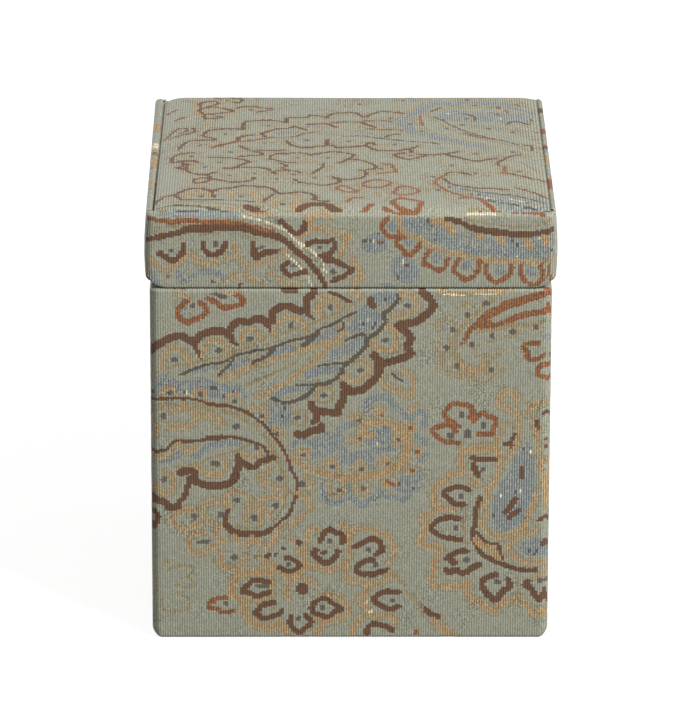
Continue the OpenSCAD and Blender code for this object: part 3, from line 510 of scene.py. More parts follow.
# Across each rib the colour runs from the valley colour, with its painted shade, to the crest colour.
mixed = put(tree, "ShaderNodeMix", data_type="RGBA")
tree.links.new(woven.outputs["Crest"], mixed.inputs[0])
crest_colour = ramp(tree, yarn_in, CREST, PAINTED_GLINT)
tree.links.new(ramp(tree, yarn_in, SHADED_VALLEY).outputs[0], mixed.inputs[6])
tree.links.new(crest_colour.outputs[0], mixed.inputs[7])
# Painted glints: random flecks on the crests brighten the colour of the yarns that glint, standing in for
# highlights on the thread.
painted_glint_fleck = math_node(tree, "MAXIMUM", math_node(tree, "SUBTRACT", woven.outputs["Fleck"], 0.7), 0.0)
painted_glint_fleck = math_node(tree, "MULTIPLY", painted_glint_fleck, crest_colour.outputs[1])
value = math_node(tree, "MULTIPLY", woven.outputs["Slub"], 0.60)
value = math_node(tree, "ADD", value, math_node(tree, "MULTIPLY", woven.outputs["Fleck"], 0.22))
value = math_node(tree, "ADD", value, math_node(tree, "MULTIPLY", woven.outputs["Broad"], 0.20))
value = math_node(tree, "ADD", value, math_node(tree, "MULTIPLY", painted_glint_fleck, 2.4))
patch = math_node(tree, "MAXIMUM", math_node(tree, "SUBTRACT", woven.outputs["Broad"], 0.5), 0.0)
dark_fleck = math_node(tree, "LESS_THAN", woven.outputs["Fleck"], 0.35)
patch = math_node(tree, "MULTIPLY", math_node(tree, "MULTIPLY", patch, 1.7), dark_fleck)
value = math_node(tree, "ADD", math_node(tree, "SUBTRACT", value, patch), 0.48)
shade = put(tree, "ShaderNodeHueSaturation", Color=mixed.outputs[2], Value=value)
height = math_node(tree, "ADD", woven.outputs["Crest"],
                   math_node(tree, "MULTIPLY", woven.outputs["Slub"], 0.8))
bump = put(tree, "ShaderNodeBump", Height=height, Strength=0.5, Distance=0.00006)
skin = put(tree, "ShaderNodeBsdfPrincipled", Base_Color=shade.outputs[0], Roughness=0.62,
           Normal=bump.outputs[0], Specular_IOR_Level=0.25, Sheen_Weight=0.18, Sheen_Roughness=0.4)
put(tree, "ShaderNodeOutputMaterial", Surface=skin.outputs[0])


def woven_sheet(name, points, along_mm, yarn, keep=None):
    """A sheet of brocade on a grid of points in millimetres, two columns to a rib, with its ribs and
    floats raised. The middle column is the crest of a rib, and each rib changes yarn as a whole."""
    p = np.array(points, float)
    rows, cols = p.shape[:2]
    half_ribs = np.arange(cols) - (cols - 1) // 2
    yarn = yarn[:, np.clip(np.arange(cols - 1) + half_ribs[:-1] % 2, 0, cols - 2)]
    n = np.cross(np.gradient(p, axis=1), np.gradient(p, axis=0))
    n /= np.maximum(np.linalg.norm(n, axis=2, keepdims=True), 1e-9)
    floats = np.zeros((rows, cols))
    raised = np.pad((yarn > 0).astype(float), 1, mode="edge")
    for a in (0, 1):
        for b in (0, 1):
            floats += raised[a:a + rows, b:b + cols] / 4
    edge = np.clip(np.minimum(np.arange(cols), np.arange(cols)[::-1]) / 3, 0, 1)[None, :]
    dip = RIB_DEEP * (half_ribs % 2)[None, :] + FLOAT_HIGH * (1 - floats)
    p -= n * (dip * edge)[:, :, None]
    grid = np.arange(rows * cols).reshape(rows, cols)
    quads = np.stack([grid[:-1, :-1], grid[:-1, 1:], grid[1:, 1:], grid[1:, :-1]], axis=2)
    shown = np.ones((rows - 1, cols - 1), bool) if keep is None else keep
    quads, codes = quads[shown], yarn[shown]
    used, quads = np.unique(quads, return_inverse=True)
    quads = quads.reshape(-1, 4)
    mesh = bpy.data.meshes.new(name)
    mesh.vertices.add(len(used))
    mesh.vertices.foreach_set("co", (p.reshape(-1, 3)[used] * MM).astype(np.float32).ravel())
    mesh.loops.add(quads.size)
    mesh.loops.foreach_set("vertex_index", quads.astype(np.int32).ravel())
    mesh.polygons.add(len(quads))
    mesh.polygons.foreach_set("loop_start", np.arange(0, quads.size, 4, dtype=np.int32))
    mesh.update(calc_edges=True)
    mesh.attributes.new("yarn", "FLOAT", "FACE").data.foreach_set(
        "value", (codes / 10).astype(np.float32))
    laid = np.stack([np.broadcast_to(half_ribs / 2, (rows, cols)),
                     np.broadcast_to(along_mm, (rows, cols)), np.zeros((rows, cols))], axis=2)
    mesh.attributes.new("cloth", "FLOAT_VECTOR", "POINT").data.foreach_set(
        "vector", laid.reshape(-1, 3)[used].astype(np.float32).ravel())
    mesh.materials.append(brocade)
    mesh.validate()
    o = bpy.data.objects.new(name, mesh)
    bpy.context.collection.objects.link(o)
    return o


def quarter(r, steps):
    """Pairs (in, up) round a quarter turn that starts upright and ends level."""
    return [(r - r * math.cos(a), r * math.sin(a)) for a in np.linspace(0, math.pi / 2, steps)]


def wall_rows(fine_step):
    """Rows of the base's cloth from inside the rim to under the bottom: height, how far in from the
    side walls, how far in from the front and back."""
    rows = [(z, TURN_FACE, TURN_FACE) for z in np.arange(TALL - TURN_IN, TALL - RIM_R, 2.4)]
    rows += [(TALL - RIM_R + up, TURN_FACE - i, TURN_FACE - i) for i, up in quarter(RIM_R, 5)]
    rows += [(TALL, i, i) for i in (2.3, 1.8, 1.3)]
    rows += [(TALL - RIM_R + up, i, i) for i, up in quarter(RIM_R, 5)[::-1]]
    low = CLOTH_Z0 + FOOT_R
    heights = list(np.arange(TALL - RIM_R - fine_step, low, -fine_step))
    heights += [CLOTH_Z0 + up for up in (3.1, 2.7, 2.3, 1.9, 1.5, 1.15, 0.8, 0.55, 0.35, 0.18, 0.06, 0)]
    for z in heights:
        gap = [r - math.sqrt(max(0, r * r - max(0, r - (z - CLOTH_Z0)) ** 2))
               for r in (FOOT_R, RIM_R)]
        rows.append((z, gap[0], gap[1]))
    rows += [(CLOTH_Z0, FOOT_R + (FOOT_INSET - FOOT_R) * k, RIM_R + (FOOT_INSET - RIM_R) * k)
             for k in (0.15, 0.3, 0.5, 0.75, 1)]
    return rows


def wall_cloth(name, way, fine_step, mirrored):
    """The cloth of one wall, from the middle of one upright corner to the middle of the next."""
    rows = wall_rows(fine_step)
    flat_half = WIDE / 2 - CORNER_R
    half = flat_half + CORNER_R * math.pi / 4
    cols = 2 * round(half / RIB) * 2 + 1
    s = np.linspace(-half, half, cols)
    points = np.zeros((len(rows), cols, 3))
    run, along = 0, []
    last = None
    for k, (z, in_x, in_y) in enumerate(rows):
        ha, hb = (WIDE / 2 - in_x, DEEP / 2 - in_y)[::1 if way % 2 == 0 else -1]
        r = max(CORNER_R - max(in_x, in_y), 0.2)
        turn = np.clip((np.abs(s) - flat_half) / (half - flat_half), 0, 1) * math.pi / 4
        a = np.clip(s / flat_half, -1, 1) * (ha - r) + np.sign(s) * r * np.sin(turn)
        b = hb - r + r * np.cos(turn)
        x, y = ((a, -b), (b, a), (-a, b), (-b, -a))[way]
        points[k] = np.stack([x, y, np.full(cols, z)], axis=1)
        if last is not None:
            run += math.hypot(z - last[0], hb - last[1])
        along.append(run)
        last = (z, hb)
    middle_s = (s[1:] + s[:-1]) / 2 * (-1 if mirrored else 1)
    middle_z = np.array([(a[0] + b[0]) / 2 for a, b in zip(rows, rows[1:])])
    yarn = base_figure(np.broadcast_to(middle_s, (len(rows) - 1, cols - 1)),
                       np.broadcast_to(middle_z[:, None], (len(rows) - 1, cols - 1)))
    o = woven_sheet(f"base_{name}_cloth", points, -np.array(along)[:, None], yarn)
    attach(o, "base")
    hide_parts("base_wrap_cloth")


wall_cloth("front", 0, 0.45, False)
wall_cloth("right", 1, 0.6, True)
wall_cloth("back", 2, 0.6, False)
wall_cloth("left", 3, 0.6, True)


# ---- Satin linings ----
# Thin cards covered in champagne satin, glued inside the walls of base and lid. Each stops short
# of the rim, so that the turned-in brocade shows above it.

satin = finish("satin", (196, 174, 134), 0.34, 500.0, 0.16, 0.00003, sheen=0.15, stretch=(1, 1, 6))


def slab(name, low, high, edge_r, crown, material, thin, cells=24, sag=0.0):
    """A closed card or pad between two corners in millimetres. thin is the axis of its thickness:
    its edges are rounded to edge_r and its faces swell by crown."""
    axes = [k for k in range(3) if k != thin]
    low, high = np.array(low, float), np.array(high, float)
    lines = []
    for k in axes:
        span = high[k] - low[k]
        rim = [edge_r * f for f in (0, 0.12, 0.4, 1)]
        mid = list(np.linspace(edge_r, span - edge_r, cells + 1))[1:-1]
        lines.append(np.array(rim + mid + [span - r for r in rim[::-1]]))
    u, v = np.meshgrid(*lines, indexing="ij")
    out = np.minimum(np.minimum(u, lines[0][-1] - u), np.minimum(v, lines[1][-1] - v))
    fall = edge_r - np.sqrt(np.maximum(0, edge_r ** 2 - np.maximum(0, edge_r - out) ** 2))
    swell = crown * (1 - np.exp(-out / 6.0)) if crown else 0 * out
    thick = high[thin] - low[thin]
    middle = (high[thin] + low[thin]) / 2
    half = thick / 2 - crown - fall + swell
    verts = []
    for side in (1, -1):
        p = np.zeros(u.shape + (3,))
        p[..., axes[0]], p[..., axes[1]] = low[axes[0]] + u, low[axes[1]] + v
        p[..., thin] = middle + side * half
        verts.append(p.reshape(-1, 3))
    a, b = u.shape
    g = np.arange(a * b).reshape(a, b)
    top = np.stack([g[:-1, :-1], g[1:, :-1], g[1:, 1:], g[:-1, 1:]], axis=2).reshape(-1, 4)
    ring = np.concatenate([g[:-1, 0], g[-1, :-1], g[:0:-1, -1], g[0, :0:-1]])
    nxt = np.roll(ring, -1)
    faces = np.vstack([top, top[:, ::-1] + a * b,
                       np.stack([ring, ring + a * b, nxt + a * b, nxt], axis=1)])
    if thin == 1:
        faces = faces[:, ::-1]
    mesh = bpy.data.meshes.new(name)
    mesh.from_pydata((np.vstack(verts) * MM).tolist(), [], faces.tolist())
    mesh.polygons.foreach_set("use_smooth", [True] * len(mesh.polygons))
    mesh.materials.append(material)
    mesh.update()
    o = bpy.data.objects.new(name, mesh)
    bpy.context.collection.objects.link(o)
    return o


def lining_card(where, body):
    low, high = (np.array(c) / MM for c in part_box(where))
    thin = 1 if "front" in where or "back" in where else 0
    o = slab(where.replace("lining", "satin_card"), low, high, 0.5, 0.08, satin, thin)
    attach(o, body)
    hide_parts(where)


for part in ("base", "lid"):
    for side in ("front", "back", "left", "right"):
        lining_card(f"{part}_{side}_lining", part)


# ---- Satin pads ----
# The floor of the base and the ceiling of the lid are cards padded with wadding under the same
# satin, a little fuller in the middle. They are laid in last.

def satin_pad(name, where, body, up):
    low, high = (np.array(c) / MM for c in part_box(where))
    o = slab(name, low + 0.15, high - 0.15, 1.3, 0.0, satin, 2, cells=44)
    mesh = o.data
    co = np.zeros(len(mesh.vertices) * 3, np.float32)
    mesh.vertices.foreach_get("co", co)
    co = co.reshape(-1, 3) / MM
    centre, half = (low + high) / 2, (high - low) / 2
    out = np.minimum(half[0] - np.abs(co[:, 0] - centre[0]), half[1] - np.abs(co[:, 1] - centre[1]))
    face = (co[:, 2] - centre[2]) * up > 0
    rise = 1.5 * (1 - np.clip(out / 9, 0, 1)) ** 2
    co[:, 2] -= up * np.where(face, rise, 0)
    held = o.vertex_groups.new(name="glued")
    held.add([int(k) for k in np.nonzero(~face)[0]], 1.0, "REPLACE")
    mesh.vertices.foreach_set("co", (co * MM).astype(np.float32).ravel())
    mesh.update()
    swell = o.modifiers.new("swell", "CLOTH")
    swell.settings.quality = 6
    swell.settings.mass = 0.15
    swell.settings.use_pressure = True
    swell.settings.uniform_pressure_force = 4.0
    swell.settings.vertex_group_mass = "glued"
    swell.settings.effector_weights.gravity = 0.0
    swell.point_cache.frame_start, swell.point_cache.frame_end = 1, 20
    for k in range(1, 21):
        bpy.context.scene.frame_set(k)
    worn = o.evaluated_get(bpy.context.evaluated_depsgraph_get()).to_mesh()
    moved = np.zeros(len(mesh.vertices) * 3, np.float32)
    worn.vertices.foreach_get("co", moved)
    moved = moved.reshape(-1, 3) / MM
    o.modifiers.remove(swell)
    bpy.context.scene.frame_set(1)
    shift = moved - co
    far = np.linalg.norm(shift, axis=1, keepdims=True)
    shift *= np.minimum(1, 1.2 / np.maximum(far, 1e-6))
    co = np.clip(co + shift, low + 0.02, high - 0.02)
    mesh.vertices.foreach_set("co", (co * MM).astype(np.float32).ravel())
    mesh.update()
    o.modifiers.new("soft", "SUBSURF").levels = 1
    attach(o, body)
    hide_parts(where)


satin_pad("base_floor_cushion", "base_floor_pad", "base", 1)
satin_pad("lid_ceiling_cushion", "lid_ceiling_pad", "lid", -1)


# ---- Wadding in the lid ----
# Polyester wadding under the brocade: a thin crowned sheet on the top board, and a thinner one on
# each end card, which swells the ends past the base.

wadding = finish("wadding", (232, 230, 224), 0.95, 700.0, 0.2, 0.0002)
RIM_Z, LID_H, CROWN_H, CROWN_RUN, PAD_X, PAD_Y = 118.8, 24.9, 1.7, 7.0, 61.4, 62.0
FOLD_Z = RIM_Z + LID_H


def crown_z(x, y):
    """Height of the brocade over the padded top: it falls gently to the two grooves, rolls over
    fully at the front and back folds, and is pulled down at the two back corners."""
    d = np.clip(np.abs(x) - (PAD_X - 8.5), 0, 8.5) / 8.5
    side_fall = np.where(x > 0, 1.15, CROWN_H) * d ** 2.2
    d = np.clip(np.abs(y) - (PAD_Y - CROWN_RUN), 0, CROWN_RUN) / CROWN_RUN
    fold_fall = CROWN_H * np.where(y > 0, d ** 5, d ** 3)
    fall = (side_fall ** 4 + fold_fall ** 4) ** 0.25
    for corner, reach, drop in ((-PAD_X, 8, 0.9), (PAD_X, 6, 0.3)):
        away = np.hypot(x - corner, y - PAD_Y) / reach
        fall = fall + drop * np.clip(1 - away, 0, 1) ** 2
    return FOLD_Z + CROWN_H - np.minimum(fall, CROWN_H + 1.6)


def crown_wave(x, y):
    """The slight unevenness of padding under pulled cloth."""
    level = np.clip((CROWN_H + FOLD_Z - crown_z(x, y)) / CROWN_H, 0, 1)
    return 0.14 * (1 - level) * (np.sin(x / 13 + 1) * np.sin(y / 17) - 0.6)


def edge_out(side, y):
    """How far the cloth at one groove is pulled out past its even line: more towards the front on
    the left, while on the right it bulges over the end panel's card all the way."""
    front = np.clip((50 - y) / 110, 0, 1)
    return 0.05 + 0.75 * front if side < 0 else 1.3 + 0.15 * front


def wadding_sheet(name, where, body, crown):
    low, high = (np.array(c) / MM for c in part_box(where))
    thin = int(np.argmin(high - low))
    o = slab(name, low, high, 0.3, crown, wadding, thin)
    if thin == 2:
        co = np.zeros(len(o.data.vertices) * 3, np.float32)
        o.data.vertices.foreach_get("co", co)
        co = co.reshape(-1, 3) / MM
        upper = co[:, 2] > (low[2] + high[2]) / 2
        drop = crown_z(co[:, 0], co[:, 1]) + crown_wave(co[:, 0], co[:, 1]) - 0.75
        co[:, 2] = np.where(upper, np.maximum(np.minimum(drop, high[2]), low[2] + 0.05), low[2])
        o.data.vertices.foreach_set("co", (co * MM).astype(np.float32).ravel())
        o.data.update()
    else:
        for v in o.data.vertices:
            far = max(0, abs(v.co.y) / MM - (high[1] - 6.2))
            share = min(1, max(0, (high[2] - v.co.z / MM) / (high[2] - low[2])))
            v.co.z += (6.2 - math.sqrt(max(0, 6.2 ** 2 - far ** 2))) * share ** 2 * MM
    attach(o, body)
    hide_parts(where)


wadding_sheet("lid_top_padding", "lid_top_wadding", "lid", 0.0)
wadding_sheet("lid_left_end_padding", "lid_left_end_wadding", "lid", 0.1)
wadding_sheet("lid_right_end_padding", "lid_right_end_wadding", "lid", 0.1)


# ---- Brocade over the lid ----
# One strip of the same cloth comes out of the tray, up the front, over the padded top and down the
# back into the tray again. Its sides wrap the upright corners and drop into a groove at each end.

BELLY_X, BELLY_Z, BELLY_FALL = 65.15, 10.5, 0.75
BELLY_R = ((LID_H - BELLY_Z) ** 2 + BELLY_FALL ** 2) / (2 * BELLY_FALL)
LID_CORNER_R, LID_FOOT_R, FOLD_R, END_Y, GROOVE = 2.6, 7.0, 1.5, 60.5, 0.8

# On the lid's front the cream strokes are painted glints of the thread, and the one at 143.5 mm paints the
# highlight along the fold.
LID_FRONT_DRAWING = """
blue 1.5: -62,143.5 -35,143
tan 0.8: -62.5,139 -51,139.5
blue 3: -63,124 -62,121
blue 2.2: -54,124 -53,121; -50.5,122.5 -48,124 -45.5,124.5 -42,124 -39.5,122.5 -39.5,120.5
gold 1.1 by tan: -64.5,129 -62,127 -58.5,125.5 -56,126.5 -53.5,128 -50.5,130 -48.5,128.5 -45,126.5 -42,128.5 -38,129.5 -35.5,129.5 -34,127.5 -31.5,126 -28,127.5 -24.5,128.5 -20.5,130.5; -36.5,134 -36,131; -64.5,126 -64.5,122; -40,120 -38,122 -35.5,123 -32,122.5 -28.5,120.5; -25.5,124.5 -22.5,122.5 -21.5,121 -16.5,120.5; -16.5,135.5 -12.5,138.5 -9.5,138.5 -5.5,137.5 -0.5,136.5 -2,132.5 -3,130; -14,143 -10,143.5 -6,143; -33,144 -25,143.5
gold dot 1.5: -13,140.5
rust 1.4: -64.5,142 -60.5,141.5 -56,141 -51.5,141.5 -46,141 -40.5,141 -36,140.5 -32.5,139.5
brown 1.6>2.8>2.2>1.8 by tan: -64.5,135 -62,135.5 -58.5,136.5 -54,137.5 -50,138.5 -44.5,139 -39.5,139.5 -34,139 -29.5,137.5 -24.5,136.5 -20.5,134.5 -17.5,131.5 -14,128.5 -11.5,125.5 -9.5,122.5 -8,119.5
rust 1.2: -46,140.3 -40,140.8 -34,140.4 -29.5,139 -24.5,137.8
cream 0.8: -34,142.5 -28.5,141.5 -24.5,140 -20.5,138 -18,135.5 -15.5,132.5; -16.5,134 -12.5,131.5 -9.5,128.5 -8,124.5; -20,130 -16.5,126.5 -14,123.5 -12.5,120
brown 1.9: -60.5,130.5 -58.5,129.5 -56.5,128 -54,129.5 -52.5,131.5 -52.5,133; -46.5,133.5 -46,131.5 -43.5,130 -40.5,131.5 -39.5,133.5; -31,133.5 -30.5,131.5 -30,129 -27.5,130.5 -23.5,131.5; -20,127.5 -21.5,126 -20,123.5 -17.5,123.5 -14.5,124.5; -22,141 -20,139.5 -17.5,137 -15,138.5 -14.5,140.5; -13.5,133.5 -11.5,134.5 -8,134.5 -5.5,134.5 -5.5,132 -7.5,130 -9.5,129.5; -8.5,128.5 -5.5,128 -2,126.5 0,125 -2.5,123 -5.5,121.5
plum dot 0.8: -56.5,131.5 -42.5,133.5 -28,132.5 -18,126.5 -10,132.5 -5.5,124.5
rust dot 0.7: -57.5,123
brown dot 0.7: -43.5,121 -35,120
gold 1.4 by tan: -2,136 -1.5,132; 0.5,128.5 2,126 2.5,122.5 1,120.5
blue fill: 3.5,134.5 5.5,136.5 8.5,137.5 11.5,134 10,131 4.5,131; 12.5,126.5 14.5,129.5 18,130 20.5,126.5 21.5,122.5 17.5,121 14,122.5
rust 1: 8.5,134 10,134
umber dot 0.8: 17.5,126.5
blue 1.5: 9.5,120.5 13.5,119.5
blue haze: 15.5,142 24.5,142 31.5,137.5 41.5,137.5 48.5,136.5 56.5,136 64.5,137.5 64.5,129.5 56.5,128.5 44.5,129.5 35.5,130.5 26.5,133.5 21.5,136 17.5,138.5
rust 1.7: 11.5,142 9.5,140 10.5,137.5 12.5,136 15,136.5 15.5,138.5; 17.5,136.5 14.5,135 14.5,133.5 16.5,131.5 18,130 20.5,131.5 21.5,133.5; 25,131.5 23.5,129.5 23,127.5 24.5,126.5 27.5,125 29.5,126 30.5,128.5; 34,128.5 32.5,126 33,124 36.5,122 39.5,124 40.5,126.5 40.5,128.5; 42.5,126.5 42.5,124 45.5,121 48.5,122.5 50.5,124.5 50.5,127.5; 53.5,127 53.5,123.5 56.5,120.5 59.5,121 60.5,123.5 59.5,127; 62.5,126.5 63.5,122.5
blue dot 1.6: 13,139.5 18.5,134.5 27,129 36.5,126.5 47,125 56.5,124.5
gold 1.2 by tan: 15,141.5 15.5,138.5 18,136.5 21.5,135.5 24.5,133.5 28,131.5 32.5,130.5 38,129.5 43.5,128.5 50,128 56.5,127.5 62,128 64,129.5
gold 2.2: 26,141 30,141; 27.5,141 31.5,138.5 32,137.5
gold 2.4: 40,137 40.5,136; 46.5,136 47.5,134.5; 55,134.7 56,133.2; 61,135.6 61.8,134
tan 0.9: 36,142 46,140 56,139.5 64,141.5
brown 1.5>2.4>1.8: 30,142 34,141 38,139 41.5,138 46,137.5 51.5,137 56.5,137 60.5,137.5 64.5,138.5
rust 1.3: 13.5,144 20.5,143.5; 43.5,145.5 48.5,144.5 56,144 61.5,143
cream 0.9: 37,143.5 45,143.5
"""
